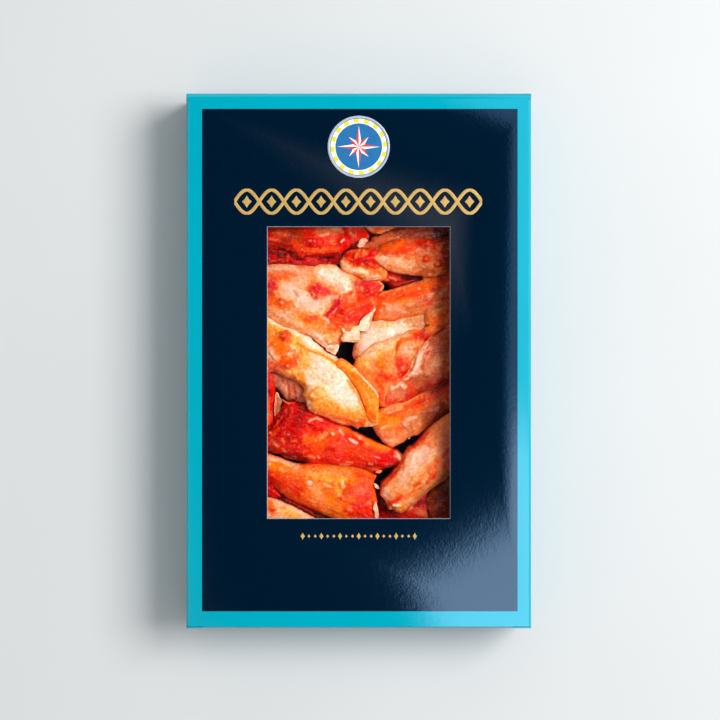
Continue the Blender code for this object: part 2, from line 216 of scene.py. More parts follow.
# %% Colours and shaders
def tone(red, green, blue):
    """Paint-card numbers from 0 to 255 turned into amounts of light."""
    shares = [value / 255 for value in (red, green, blue)]
    lights = [s / 12.92 if s <= 0.04045 else ((s + 0.055) / 1.055) ** 2.4 for s in shares]
    return (*lights, 1.0)


def start(name):
    """A new material with an empty tree, and a wire to build on."""
    material = bpy.data.materials.new(name)
    material.use_nodes = True
    material.node_tree.nodes.clear()
    return material, Wire(material.node_tree)


def bumped(wire, height, depth, strength=1.0):
    """Turns a height from 0 to 1 into a Normal; depth is the height's size in metres."""
    return wire.add("ShaderNodeBump", None, {"Strength": strength, "Distance": depth, "Height": height})


def finish(material, wire, sockets):
    shader = wire.add("ShaderNodeBsdfPrincipled", None, sockets)
    wire.add("ShaderNodeOutputMaterial", None, {"Surface": shader})
    return material


# %% [markdown]
# ## The fill
#
# The world lights the carton evenly from all around. Its top is dark, as a ceiling behind the camera
# is: dark varnish facing straight up then mirrors darkness, and its colour stays deep.

# %% Fill from the world
world = bpy.data.worlds.new("studio")
world.use_nodes = True
world.node_tree.nodes.clear()
bpy.context.scene.world = world
w = Wire(world.node_tree)
sky_height = w.add("ShaderNodeTexCoord", None, None, "Generated").parts()[2]
ceiling = sky_height.above(0.955, 0.04)
glow = w.add("ShaderNodeBackground", None, {
    "Color": (0.96, 0.985, 1.0, 1.0),
    "Strength": 0.66 * (1 - ceiling) + 0.004,
})
w.add("ShaderNodeOutputWorld", None, {"Surface": glow})
print("world ready")

# %% [markdown]
# ## The floor
#
# The carton lies on a plain pale table top. It is staged, which means that it isn't part of the
# object.

# %% Floor
floor_finish, w = start("table_top")
grain = w.add("ShaderNodeTexCoord", None, None, "Object").noise(6.0, 3.0)
finish(floor_finish, w, {
    "Base Color": grain.blend(tone(193, 194, 194), tone(199, 200, 200)),
    "Roughness": 0.65,
    "Specular IOR Level": 0.2,
})
bpy.ops.mesh.primitive_plane_add(size=5.0, location=(0, 0, 0))
floor = bpy.context.object
floor.name = "table_top"
floor.location.z = 0
floor.data.materials.append(floor_finish)
bpy.ops.object.select_all(action="DESELECT")

# %% [markdown]
# ## The card
#
# The carton is one folded sheet of printed card, half a millimetre thick, and its solid already has
# every fold and flap. A copy of it is merged, so that each fold is one smooth bend, and its faces are
# then sorted: the printed outside, and the bare pale board that shows at cut edges and inside.
#
# The sorting needs no drawing. A face is printed where it looks outwards from the box and lies on
# its outer skin.

# %% Copy a solid and merge it
def merged_copy(node_name, name):
    """A copy of a plain solid with its loose triangles joined into one skin."""
    bpy.ops.object.select_all(action="DESELECT")
    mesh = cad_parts[node_name].data.copy()
    mesh.materials.clear()
    piece = bpy.data.objects.new(name, mesh)
    bpy.context.scene.collection.objects.link(piece)
    bpy.context.view_layer.objects.active = piece
    piece.select_set(True)
    bpy.ops.object.mode_set(mode="EDIT")
    bpy.ops.mesh.select_all(action="SELECT")
    bpy.ops.mesh.remove_doubles(threshold=0.00001)
    bpy.ops.object.mode_set(mode="OBJECT")
    return piece


card = merged_copy("carton", "carton_card")
low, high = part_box("carton")
PANEL_TOP = 31.8 * MM
print("card:", len(card.data.polygons), "faces, box", low, high)

# %% The card's print
NAVY = tone(0, 23, 43)
NAVY_DEEP = tone(0, 18, 36)
TEAL = tone(0, 156, 175)
TEAL_DEEP = tone(0, 148, 168)
printed, w = start("printed_card")
place = w.add("ShaderNodeTexCoord", None, None, "Object")
x, y, z = place.parts()
on_panel = z.above(PANEL_TOP - 0.25 * MM, 0.1 * MM) + (1 - z.above(0.25 * MM, 0.1 * MM))
field = x.inside(-74.4 * MM, 75.4 * MM, 0.08 * MM) * y.inside(-119 * MM, 119.5 * MM, 0.08 * MM)
mottle = place.noise(900.0, 3.0, 0.6)
cloud = place.noise(28.0, 2.0)
teal = cloud.blend(TEAL, TEAL_DEEP)
navy = mottle.blend(NAVY_DEEP, NAVY)
skin = place.noise(1100.0, 2.0, 0.55) * 0.6 + place.noise(420.0, 1.0) * 0.4
finish(printed, w, {
    "Base Color": (on_panel * field).blend(teal, navy),
    "Roughness": 0.06 + mottle * 0.05,
    "Specular IOR Level": 0.5,
    "Normal": bumped(w, skin, 0.06 * MM, 0.6),
})

# %% Bare board
bare, w = start("bare_board")
place = w.add("ShaderNodeTexCoord", None, None, "Object")
fibres = place.noise(1500.0, 3.0, 0.6)
finish(bare, w, {
    "Base Color": fibres.blend(tone(132, 140, 148), tone(156, 162, 168)),
    "Roughness": 0.75 + fibres * 0.15,
    "Normal": bumped(w, fibres, 0.04 * MM, 0.5),
})

# %% [markdown]
# The knife leaves the window's edge a little sloped. On the real carton the slope is hardly wider
# than a hair, so its upper rim is drawn in towards the opening.

# %% The window's cut edge
WINDOW_MIDDLE = -5.7 * MM
for vertex in card.data.vertices:
    x, y, z = vertex.co
    if z > PANEL_TOP - 0.1 * MM and abs(x) < 44 * MM and abs(y - WINDOW_MIDDLE) < 70 * MM:
        vertex.co.x -= math.copysign(0.2 * MM, x)
        vertex.co.y -= math.copysign(0.2 * MM, y - WINDOW_MIDDLE)
print("window rim drawn in")

# %% Sort the card's faces
card.data.materials.append(printed)
card.data.materials.append(bare)
EDGE = 0.45 * MM
for face in card.data.polygons:
    x, y, z = face.center
    out = face.normal
    skin_face = (
        (z > PANEL_TOP - EDGE and out.z > 0.9)
        or (z < EDGE and out.z < -0.5)
        or (x > high[0] - 2.2 * MM and out.x > 0.05)
        or (x < low[0] + 2.2 * MM and out.x < -0.05)
        or (y > high[1] - 2.2 * MM and out.y > 0.05)
        or (y < low[1] + 2.2 * MM and out.y < -0.05)
    )
    face.material_index = 0 if skin_face else 1
bpy.ops.object.shade_smooth_by_angle(angle=math.radians(30))
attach(card, "root")
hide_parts("carton")
print("printed faces:", sum(face.material_index == 0 for face in card.data.polygons))

# %% [markdown]
# ## Foil and enamel
#
# The print carries a few hot-stamped ornaments that stand a hair above the card: a round badge with a
# silver rim, a gold braid across the panel, and a row of small gold lozenges under the window. They
# are plain pattern-book ornaments. Each starts as a flat primitive on the panel, is shaped in edit
# mode, and gets its thickness from a modifier.
#
# The badge's rim is spun: a small half-round profile is turned once around the badge's centre.

# %% Foil finishes
def enamel(name, first, second, roughness, metal):
    material, w = start(name)
    place = w.add("ShaderNodeTexCoord", None, None, "Object")
    brushed = place.noise(1800.0, 3.0, 0.6)
    patch = place.noise(260.0, 2.0)
    return finish(material, w, {
        "Base Color": patch.blend(first, second),
        "Metallic": metal,
        "Roughness": roughness + brushed * 0.15,
        "Normal": bumped(w, brushed, 0.03 * MM, 0.6),
    })


SILVER = enamel("silver_foil", tone(150, 156, 164), tone(184, 188, 194), 0.35, 0.3)
GOLD = enamel("gold_foil", tone(176, 134, 62), tone(204, 166, 92), 0.38, 0.3)
ENAMEL_RED = enamel("red_enamel", tone(214, 46, 40), tone(198, 38, 36), 0.35, 0.0)
ENAMEL_WHITE = enamel("white_enamel", tone(224, 226, 228), tone(236, 238, 240), 0.35, 0.0)
ENAMEL_BLUE = enamel("blue_enamel", tone(0, 104, 158), tone(0, 84, 138), 0.35, 0.0)
ENAMEL_YELLOW = enamel("yellow_enamel", tone(236, 206, 8), tone(226, 192, 6), 0.35, 0.0)


def mount_foil(piece, name):
    """Settles a finished ornament: its place goes into its mesh, and it rides with the card."""
    piece.name = name
    bpy.ops.object.transform_apply(location=True, rotation=True, scale=True)
    bpy.ops.object.shade_smooth_by_angle(angle=math.radians(35))
    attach(piece, "root")


def thicken(piece, thickness, offset=-1.0):
    solid = piece.modifiers.new("thickness", "SOLIDIFY")
    solid.thickness = thickness
    solid.offset = offset
    bpy.ops.object.modifier_apply(modifier="thickness")


# %% The badge
BADGE_X = 0.0
BADGE_Y = 101.5 * MM
BADGE_RADIUS = 14.75 * MM
bpy.ops.object.select_all(action="DESELECT")
bpy.ops.mesh.primitive_circle_add(vertices=10, radius=0.55 * MM,
                                  location=(BADGE_X + BADGE_RADIUS - 0.55 * MM, BADGE_Y, PANEL_TOP),
                                  rotation=(math.radians(90), 0, 0))
rim = bpy.context.object
bpy.ops.object.mode_set(mode="EDIT")
bpy.ops.mesh.select_all(action="SELECT")
bpy.ops.transform.resize(value=(1, 1, 0.28), center_override=rim.location)
bpy.ops.mesh.spin(steps=96, angle=math.tau, center=(BADGE_X, BADGE_Y, PANEL_TOP), axis=(0, 0, 1))
bpy.ops.mesh.select_all(action="SELECT")
bpy.ops.mesh.remove_doubles(threshold=0.000002)
bpy.ops.mesh.normals_make_consistent(inside=False)
bpy.ops.object.mode_set(mode="OBJECT")
rim.data.materials.append(SILVER)
mount_foil(rim, "badge_rim")
print("badge rim:", len(rim.data.polygons), "faces")

# %% [markdown]
# The badge's field is a disc, inset twice: the ring between the insets is cut into yellow and white
# blocks, and the middle is blue. On it lies a compass star. A fan of sixteen triangles becomes the
# star when every other rim point is drawn in, and lifting the middle gives each point its ridge.

# %% The badge's field and star
bpy.ops.object.select_all(action="DESELECT")
bpy.ops.mesh.primitive_circle_add(vertices=96, radius=BADGE_RADIUS - 0.9 * MM, fill_type="NGON",
                                  location=(BADGE_X, BADGE_Y, PANEL_TOP + 0.05 * MM))
field_disc = bpy.context.object
bpy.ops.object.mode_set(mode="EDIT")
bpy.ops.mesh.select_all(action="SELECT")
bpy.ops.mesh.inset(thickness=0.5 * MM)
bpy.ops.mesh.inset(thickness=1.9 * MM)
bpy.ops.mesh.inset(thickness=0.35 * MM)
bpy.ops.object.mode_set(mode="OBJECT")
for finish_used in (ENAMEL_BLUE, ENAMEL_YELLOW, ENAMEL_WHITE):
    field_disc.data.materials.append(finish_used)
for face in field_disc.data.polygons:
    away = math.hypot(face.center.x, face.center.y) / MM
    if 11.3 < away < 13.2:
        turn = math.atan2(face.center.y, face.center.x) / math.tau * 32
        face.material_index = 1 + int(turn // 1) % 2
    elif away > 3 and away <= 11.3:
        face.material_index = 2
thicken(field_disc, 0.05 * MM)
mount_foil(field_disc, "badge_field")

bpy.ops.object.select_all(action="DESELECT")
bpy.ops.mesh.primitive_circle_add(vertices=16, radius=1 * MM, fill_type="TRIFAN",
                                  location=(BADGE_X, BADGE_Y, PANEL_TOP + 0.09 * MM))
star = bpy.context.object
for vertex in star.data.vertices:
    turn = round(math.atan2(vertex.co.y, vertex.co.x) / math.tau * 16) % 16
    if vertex.co.length < 0.1 * MM:
        vertex.co.z = 0.09 * MM
    elif turn % 4 == 0:
        vertex.co *= 10.2
    elif turn % 2 == 0:
        vertex.co *= 6.6
    else:
        vertex.co *= 3.0
star.data.materials.append(ENAMEL_RED)
star.data.materials.append(ENAMEL_WHITE)
for face in star.data.polygons:
    turn = math.atan2(face.center.y, face.center.x) / math.tau * 16
    face.material_index = int(turn // 1) % 2
thicken(star, 0.03 * MM)
mount_foil(star, "badge_star")

# %% [markdown]
# The braid is two waves that cross, with a lozenge in each eye. A wave is a long grid bent by a sine:
# where it climbs, the strip is widened, so that the stroke keeps its weight.

# %% The braid
BRAID_LOW = -59 * MM
BRAID_HIGH = 58.5 * MM
BRAID_Y = 75.45 * MM
EYES = 10
braid_length = BRAID_HIGH - BRAID_LOW
for number, sign in enumerate((1, -1)):
    bpy.ops.object.select_all(action="DESELECT")
    bpy.ops.mesh.primitive_grid_add(x_subdivisions=240, y_subdivisions=4, size=1.0,
                                    location=((BRAID_LOW + BRAID_HIGH) / 2, BRAID_Y, PANEL_TOP))
    wave = bpy.context.object
    for vertex in wave.data.vertices:
        across = vertex.co.y * 2
        phase = (vertex.co.x + 0.5) * math.pi * EYES
        climb = abs(math.cos(phase))
        weight = (0.62 + 0.75 * climb) * MM
        vertex.co.y = sign * 5.5 * MM * math.sin(phase) + across * weight
        vertex.co.x *= braid_length
        vertex.co.z = (0.13 - 0.07 * across**2 + 0.01 * number) * MM
    thicken(wave, 0.06 * MM)
    wave.data.materials.append(GOLD)
    mount_foil(wave, "gold_wave_%d" % (number + 1))

# %% Lozenges in the braid and under the window
def lozenge(name, x, y, half_width, half_height, rise=0.16 * MM):
    bpy.ops.object.select_all(action="DESELECT")
    bpy.ops.mesh.primitive_circle_add(vertices=8, radius=1.0, fill_type="TRIFAN",
                                      location=(x, y, PANEL_TOP + 0.05 * MM))
    gem = bpy.context.object
    for number, vertex in enumerate(gem.data.vertices):
        if vertex.co.length < 0.1:
            vertex.co.z = rise - 0.05 * MM
            continue
        turn = round(math.atan2(vertex.co.y, vertex.co.x) / math.tau * 8) % 8
        pull = 1.0 if turn % 2 == 0 else 0.62
        vertex.co.x *= half_width * pull
        vertex.co.y *= half_height * pull
    thicken(gem, 0.04 * MM)
    gem.data.materials.append(GOLD)
    mount_foil(gem, name)


for number in range(EYES):
    lozenge("braid_lozenge_%02d" % (number + 1), BRAID_LOW + (number + 0.5) * braid_length / EYES, BRAID_Y,
            2.3 * MM, 2.9 * MM)
RULE_Y = -83.3 * MM
RULE_GEMS = 19
for number in range(RULE_GEMS):
    share = number / (RULE_GEMS - 1) * 2 - 1
    big = number % 3 == 0
    lozenge("rule_lozenge_%02d" % (number + 1), share * 26.6 * MM, RULE_Y,
            (1.05 if big else 0.75) * MM, (1.65 if big else 0.85) * MM, 0.12 * MM)

# %% [markdown]
# ## Film and tray
#
# The film is so thin that its solid is already right. It gets a clear skin: almost all of the light
# goes straight through, and a little comes back as gloss, softly bent by the film's slack. The tray
# is black thermoformed plastic, glossy, with the faint ripple of sheet drawn over a mould. Only
# scraps of it show, black between the pieces of meat.

# %% Film
clear, w = start("clear_film")
place = w.add("ShaderNodeTexCoord", None, None, "Object")
slack = place.noise(38.0, 2.0, 0.45, 0.6)
gloss = w.add("ShaderNodeBsdfPrincipled", None, {
    "Base Color": (0.95, 0.97, 1.0, 1.0),
    "Metallic": 1.0,
    "Roughness": 0.07 + slack * 0.05,
    "Normal": bumped(w, slack, 0.6 * MM, 0.6),
})
through = w.add("ShaderNodeBsdfTransparent", None, {"Color": (0.99, 0.99, 0.99, 1.0)})
slant = w.add("ShaderNodeLayerWeight", None, {"Blend": 0.5}, "Facing")
steep = slant * slant
mirror = 0.012 + 0.9 * (steep * steep * slant)
skin = w.add("ShaderNodeMixShader", None, {0: mirror, 1: through, 2: gloss})
w.add("ShaderNodeOutputMaterial", None, {"Surface": skin})
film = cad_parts["window_film"]
film.material_slots[0].material = clear

# %% Tray
black, w = start("black_tray")
place = w.add("ShaderNodeTexCoord", None, None, "Object")
ripple = place.noise(160.0, 3.0, 0.55)
finish(black, w, {
    "Base Color": ripple.blend(tone(2, 1, 2), tone(7, 5, 6)),
    "Specular IOR Level": 0.15,
    "Roughness": 0.28 + ripple * 0.16,
    "Normal": bumped(w, ripple, 0.2 * MM, 0.5),
})
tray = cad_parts["tray"]
tray.material_slots[0].material = black

# %% [markdown]
# ## Tools for meat
#
# Shelled crab meat is wet muscle: fine fibres run along each leg, a thin red skin clings to the
# outside, the inside is ivory, and where a leg was pulled from its shell the edges are torn. The
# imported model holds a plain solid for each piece. Here every piece gets its real outline, and it
# becomes meat in four moves.
#
# 1. A flat shape is cut to the piece's outline, thickened, and remeshed in voxels about half a
#    millimetre wide. That gives even points all over, like fresh clay. The clay is then puffed up
#    like a cushion, from the depth that its solid has in the model to the height given for it.
# 2. Points are pushed along their normals by fibres, lumps, knobs, ridges and overlapping skins.
#    This is sculpting, written down.
# 3. Each point is given a colour, by strokes of a brush drawn on the piece from above.
# 4. A material adds what is finer than the points: hair-thin fibres, freckles and wet gloss.
#
# `wander` is the source of everything irregular: a smooth random value in space. `from_line` measures
# how far a point is from a bent line drawn on the piece, and it serves the brush, the chisel and the
# puffing.

# %% Random humps
def wander(points, size, seed):
    """A smooth random value from -1 to 1 at each point; size is the width of its humps in mm."""
    lattice = np.random.default_rng(seed).uniform(-1, 1, (32, 32, 32))
    place = points @ SKEW / np.asarray(size, float)
    corner = np.floor(place).astype(int)
    part = place - corner
    part = part * part * (3 - 2 * part)
    total = np.zeros(len(points))
    for dx in (0, 1):
        for dy in (0, 1):
            for dz in (0, 1):
                share = np.ones(len(points))
                for axis, step in enumerate((dx, dy, dz)):
                    share = share * (part[:, axis] if step else 1 - part[:, axis])
                spot = (corner + (dx, dy, dz)) % 32
                total += share * lattice[spot[:, 0], spot[:, 1], spot[:, 2]]
    return total


# The lattice is turned a little, so that its squares don't line up with the carton.
TURN = math.radians(27)
SKEW = np.array([[math.cos(TURN), math.sin(TURN), 0.2], [-math.sin(TURN), math.cos(TURN), 0.1], [0, 0, 1]])


def crumple(points, size, seed):
    """Humps with smaller humps on them."""
    size = np.asarray(size, float)
    return (wander(points, size, seed) + 0.5 * wander(points, size / 2, seed + 1)
            + 0.25 * wander(points, size / 4, seed + 2)) / 1.4


def along_fibres(fibre, size, seed):
    """Humps on a lattice that lies along the fibres, which must not be turned."""
    return crumple(fibre @ np.linalg.inv(SKEW), size, seed)


# %% Distance from a drawn line
def from_line(flat, line):
    """For each point seen from above: its distance from a bent line, the place along it, and the side."""
    corners = np.array(line, float).reshape(-1, 2)
    if len(corners) == 1:
        corners = np.vstack((corners, corners + 0.001))
    best = np.full(len(flat), 1e9)
    along = np.zeros(len(flat))
    side = np.zeros(len(flat))
    passed = 0.0
    for first, last in zip(corners[:-1], corners[1:]):
        step = last - first
        length = math.hypot(*step)
        share = np.clip((flat - first) @ step / length**2, 0, 1)
        gap = flat - first - share[:, None] * step
        distance = np.hypot(gap[:, 0], gap[:, 1])
        turn = np.sign(step[0] * gap[:, 1] - step[1] * gap[:, 0])
        nearer = distance < best
        best = np.where(nearer, distance, best)
        along = np.where(nearer, passed + share * length, along)
        side = np.where(nearer, turn * distance, side)
        passed += length
    return best, along, side


# %% The line through the middle of a piece
def spine(flat):
    """A bent line along the middle of a piece, found from its own points."""
    centre = flat.mean(axis=0)
    spread = np.linalg.eigh(np.cov((flat - centre).T))[1]
    axis = spread[:, 1]
    across = spread[:, 0]
    places = (flat - centre) @ axis
    offsets = (flat - centre) @ across
    stations = np.linspace(places.min(), places.max(), 8)
    line = []
    for low_end, high_end in zip(stations[:-1], stations[1:]):
        here = offsets[(places >= low_end) & (places <= high_end)]
        middle = (here.min() + here.max()) / 2 if len(here) else 0.0
        line.append(centre + axis * (low_end + high_end) / 2 + across * middle)
    line.insert(0, line[0] * 2 - line[1])
    line.append(line[-1] * 2 - line[-2])
    return line


# %% [markdown]
# ### Clay
#
# The Remesh modifier rebuilds a closed shape from voxels, and the Smooth modifier relaxes the steps
# that voxels leave. Both are applied, so that the points can be moved afterwards.

# %% Clay from an outline
VOXEL = 0.38
SLAB = 7.0


def points_of(mesh):
    places = np.empty(len(mesh.vertices) * 3)
    mesh.vertices.foreach_get("co", places)
    normals = np.empty(len(mesh.vertices) * 3)
    mesh.vertices.foreach_get("normal", normals)
    return places.reshape(-1, 3) / MM, normals.reshape(-1, 3)


def move_points(mesh, places):
    mesh.vertices.foreach_set("co", (places * MM).ravel())
    mesh.update()


def relax(piece, rounds):
    smooth = piece.modifiers.new("relax", "SMOOTH")
    smooth.iterations = rounds
    bpy.ops.object.modifier_apply(modifier="relax")


def clay(name, outline, thickness, voxel):
    """A flat shape cut to an outline, thickened and remeshed; its middle lies at height zero."""
    corners = np.array(outline, float).reshape(-1, 2)
    bpy.ops.object.select_all(action="DESELECT")
    bpy.ops.mesh.primitive_circle_add(vertices=len(corners), radius=MM, fill_type="NGON")
    piece = bpy.context.object
    piece.name = name
    for vertex, corner in zip(piece.data.vertices, corners):
        vertex.co = (corner[0] * MM, corner[1] * MM, 0)
    thicken(piece, thickness * MM, 0.0)
    remesh = piece.modifiers.new("voxels", "REMESH")
    remesh.mode = "VOXEL"
    remesh.voxel_size = voxel * MM
    bpy.ops.object.modifier_apply(modifier="voxels")
    relax(piece, 4)
    return piece


# %% Puffing up
def blended(flat, spots):
    """A height at each point, blended from the heights given at a few spots (x, y, height)."""
    total = np.zeros(len(flat))
    weights = np.zeros(len(flat))
    for x, y, height in np.array(spots, float).reshape(-1, 3):
        weight = 1 / ((flat[:, 0] - x) ** 2 + (flat[:, 1] - y) ** 2 + 9)
        total += weight * height
        weights += weight
    return total / weights


def puff(piece, outline, base, crest, drop, shoulder, rag, seed):
    """Rounds the clay over. The top falls by drop towards the outline, over the shoulder's width."""
    places, _ = points_of(piece.data)
    flat = places[:, :2]
    closed = (*outline, *outline[:2])
    depth = from_line(flat, closed)[0]
    steep = np.clip(depth / shoulder, 0, 1)
    gentle = np.clip(depth / shoulder / 2.2, 0, 1)
    rounding = 0.75 * np.sqrt(1 - (1 - steep) ** 2) + 0.25 * np.sqrt(1 - (1 - gentle) ** 2)
    sunk = np.clip((flat[:, 0] - 32) / 14, 0, 1)
    top = blended(flat, crest) - drop * (1 - rounding) - 0.8 * sunk * sunk * (3 - 2 * sunk)
    share = np.clip(places[:, 2] / SLAB + 0.5, 0, 1)
    places[:, 2] = base + share * (top - base)
    near_edge = np.exp(-depth / 1.6)
    for axis in (0, 1):
        frill = crumple(places * (1, 1, 0.3), 2.6, seed + axis) + 0.5 * crumple(places * (1, 1, 0.3), 1.1, seed + 5 + axis)
        places[:, axis] += rag * near_edge * frill
    move_points(piece.data, places)
    relax(piece, 4)


# %% [markdown]
# ### The palette
#
# Cooked crab runs from ivory through peach and orange to a deep red skin. The names below are the
# pots of paint that the strokes dip into.

# %% Pots of paint
PAINT = {
    "white": tone(255, 252, 250),
    "ivory": tone(255, 244, 226),
    "butter": tone(254, 196, 84),
    "cream": tone(252, 212, 176),
    "peach": tone(251, 166, 96),
    "blush": tone(240, 146, 106),
    "petal": tone(246, 206, 194),
    "rose": tone(226, 82, 60),
    "pink": tone(228, 54, 54),
    "magenta": tone(222, 14, 54),
    "tan": tone(216, 142, 92),
    "mauve": tone(190, 124, 112),
    "amber": tone(253, 152, 0),
    "orange": tone(250, 116, 0),
    "flame": tone(243, 74, 0),
    "vermilion": tone(232, 34, 0),
    "red": tone(208, 0, 0),
    "crimson": tone(162, 0, 0),
    "wine": tone(96, 0, 0),
    "brown": tone(158, 58, 10),
    # The umber pot paints shade: notches, crevices, and meat shaded by the window's right and top edges.
    "umber": tone(94, 18, 0),
    # The near-black pot is painted shadow: it fills the dark gaps between pieces and darkens sides that turn away.
    "soot": tone(6, 0, 0),
}


def paint_points(places, normals, base, rim, strokes, knobs, seed, shade):
    """Colours each point: a base, the deeper colour of the sides, and then strokes laid over both in turn.
    The sides' colour is partly the skin's own colour and partly painted shade where the surface turns
    down. A stroke is a pot, how thickly it covers, its half width in mm, and the line that the brush
    follows. Each knob gets a dark ring and a paler heart at the end. After the knobs the colours are
    darkened towards the right: painted shade standing in for the shadow of the window's right edge."""
    wobble = np.column_stack([crumple(places, 3.4, seed + k) for k in (11, 17)])
    ragged = np.column_stack([crumple(places, 1.1, seed + k) for k in (23, 29)])
    grain = wander(places, 0.75, seed + 31) + 0.8 * wander(places, 1.5, seed + 37)
    colours = np.tile(np.array(PAINT[base][:3]), (len(places), 1))
    # Side colour: the rim pot's deeper colour where the surface turns down, partly the skin's own colour and partly
    # painted shade.
    turned = np.clip(0.85 - normals[:, 2] + 0.15 * grain, 0, shade)
    colours += turned[:, None] * (np.array(PAINT[rim][:3]) - colours)

    def lay(pot, cover, width, line):
        loose = min(1.0, width / 2.2)
        flat = places[:, :2] + loose * (1.0 * wobble + 0.8 * ragged)
        distance = from_line(flat, line)[0]
        soft = 1.1 * width + 0.45
        edge = np.clip((width + soft / 2 - distance) / soft + 0.34 * loose * grain, 0, 1)
        share = cover * edge * edge * (3 - 2 * edge) * (1 - 0.45 * turned)
        ink = np.array(PAINT[pot][:3])
        golden = np.where(ink < colours, (1.0, 0.85, 0.6), (1.0, 1.15, 1.5))
        colours[:] += share[:, None] ** golden * (ink - colours)

    for pot, cover, width, *line in strokes:
        lay(pot, cover, width, line)
    for x, y, radius, _, ring, heart in knobs:
        lay(ring, 0.85, radius, (x, y))
        lay(heart, 0.8, radius * 0.42, (x - radius * 0.1, y + radius * 0.1))
    # Painted shade: the colours darken towards the right, standing in for the shadow that the window's right edge casts
    # on the meat.
    painted_shade_right = np.clip((places[:, 0] - 16 + 3.0 * wobble[:, 0]) / 28, 0, 1) ** 1.3
    colours *= 1 - painted_shade_right[:, None] * np.array((0.36, 0.46, 0.52))
    uneven = 0.36 - 0.24 * colours[:, 2]
    fade = 1 + uneven * crumple(places, 1.0, seed + 43) + 0.10 * crumple(places, 4.0, seed + 47)
    return np.clip(colours * np.column_stack((0.97 * fade**0.3, 0.82 * fade**1.5, 0.76 * fade**2.6)), 0, 1)


# %% [markdown]
# ### Sculpting
#
# `carve` moves the points. Fibres are noise stretched along the piece, so that it makes ridges and
# not humps. A knob is a low dome with a dimple in its top, where a spine of the shell once sat. A
# ridge is raised along a line, and a negative height makes it a groove. A skin is raised on the left
# of its line alone, so that it looks like one layer of meat lying over another.

# %% Carving
def carve(mesh, line, knobs, ridges, skins, lumps, seed):
    places, normals = points_of(mesh)
    _, along, side = from_line(places[:, :2], line)
    fibre = np.column_stack((along, side, places[:, 2]))
    upward = np.clip(normals[:, 2] + 0.1, 0, 1)
    height = lumps * crumple(places, 7.0, seed)
    height += 0.24 * along_fibres(fibre, (9.0, 1.9, 1.9), seed + 5)
    height += 0.20 * crumple(places, 2.4, seed + 7)
    for x, y, radius, rise, _, _ in knobs:
        away = np.hypot(places[:, 0] - x, places[:, 1] - y) / radius
        dome = np.exp(-(away**2)) - 0.45 * np.exp(-((away / 0.35) ** 2))
        height += rise * dome * upward
    bent = places[:, :2] + 0.5 * np.column_stack([wander(places, 2.2, seed + k) for k in (9, 10)])
    for rise, width, *track in ridges:
        away = from_line(bent, track)[0] / width
        height += rise * np.exp(-(away**2)) * upward
    for rise, width, *track in skins:
        distance, _, side_of_skin = from_line(bent, track)
        over = np.clip(side_of_skin / 0.5 + 0.5, 0, 1)
        height += rise * over * np.exp(-distance / width) * upward
    places += height[:, None] * normals
    move_points(mesh, places)
    return places, fibre


# %% [markdown]
# ### The meat's finish
#
# One recipe serves all the meat, with small changes for each slot. The painted colour is read from
# the points. Noise stretched along the fibres lightens it in hair-thin lines, and freckles of skin
# darken it. Light sinks in and comes out a little further on, which is what makes flesh look soft:
# that is subsurface scattering. A thin clear coat in patches is the film of water on it.

# %% Meat material
def meat_finish(name, freckle, streak, wetness):
    material, w = start(name)
    painted = w.add("ShaderNodeAttribute", {"attribute_name": "paint"}, None, "Color")
    run = w.add("ShaderNodeAttribute", {"attribute_name": "fibre"}, None, "Vector")
    place = w.add("ShaderNodeTexCoord", None, None, "Object")
    hairs = run.stretched(160, 1500, 1500).noise(1.0, 3.0, 0.6, 0.6)
    strands = run.stretched(150, 620, 620).noise(1.0, 3.0, 0.6, 0.8)
    pebble = place.noise(760.0, 3.0, 0.65)
    spots = place.noise(430.0, 4.0, 0.68)
    flecks = place.noise(980.0, 2.0, 0.6)
    pale = strands.above(0.57, 0.16) * pebble.above(0.50, 0.16) * streak
    lighter = pale.blend(painted, (0.85, 0.52, 0.36, 1.0), "SCREEN")
    mottled = (spots.above(0.55, 0.12) * freckle).blend(lighter, (0.92, 0.42, 0.12, 1.0), "MULTIPLY")
    freckled = (flecks.above(0.58, 0.08) * freckle).blend(mottled, (0.94, 0.50, 0.20, 1.0), "MULTIPLY")
    grit = place.noise(1700.0, 2.0, 0.6)
    sandy = grit.above(0.42, 0.28) * (0.30 + 1.3 * freckle)
    colour = sandy.blend(freckled, (0.98, 0.73, 0.48, 1.0), "MULTIPLY")
    # Painted glints: tiny pale specks screened into the base colour as highlights, most of them where the paint is
    # bright.
    painted_glints = place.noise(1100.0, 2.0, 0.5).above(0.66, 0.07) * strands.above(0.50, 0.12) * painted.parts()[0]
    colour = (painted_glints * 0.55).blend(colour, (0.80, 0.42, 0.28, 1.0), "SCREEN")
    relief = hairs * 0.3 + strands * 0.3 + pebble * 0.4
    return finish(material, w, {
        "Base Color": colour,
        "Roughness": 0.40 + pebble * 0.20,
        "Specular IOR Level": 0.03,
        "Subsurface Weight": 0.35,
        "Subsurface Radius": (1.0, 0.42, 0.25),
        "Subsurface Scale": 1.6 * MM,
        "Coat Weight": spots.above(0.50, 0.12) * wetness,
        "Coat IOR": 1.2,
        "Coat Roughness": 0.06,
        "Normal": bumped(w, relief, 0.8 * MM, 1.0),
    })


FINISH = {
    "cream_meat": meat_finish("cream_meat", 0.25, 0.22, 0.8),
    "orange_meat": meat_finish("orange_meat", 0.40, 0.22, 0.8),
    "red_meat": meat_finish("red_meat", 0.40, 0.12, 1.0),
    "salmon_meat": meat_finish("salmon_meat", 0.40, 0.26, 0.8),
    # The brown meat is meat in shade: its brown is painted shade.
    "brown_meat": meat_finish("brown_meat", 0.50, 0.10, 0.7),
}

# %% [markdown]
# ### Making one piece
#
# `dress` puts the four moves together, hangs the piece on the model's only body, names it after the
# plain solid that it stands for and hides that solid.

# %% Dress a piece
counts = {}
meat_points = []


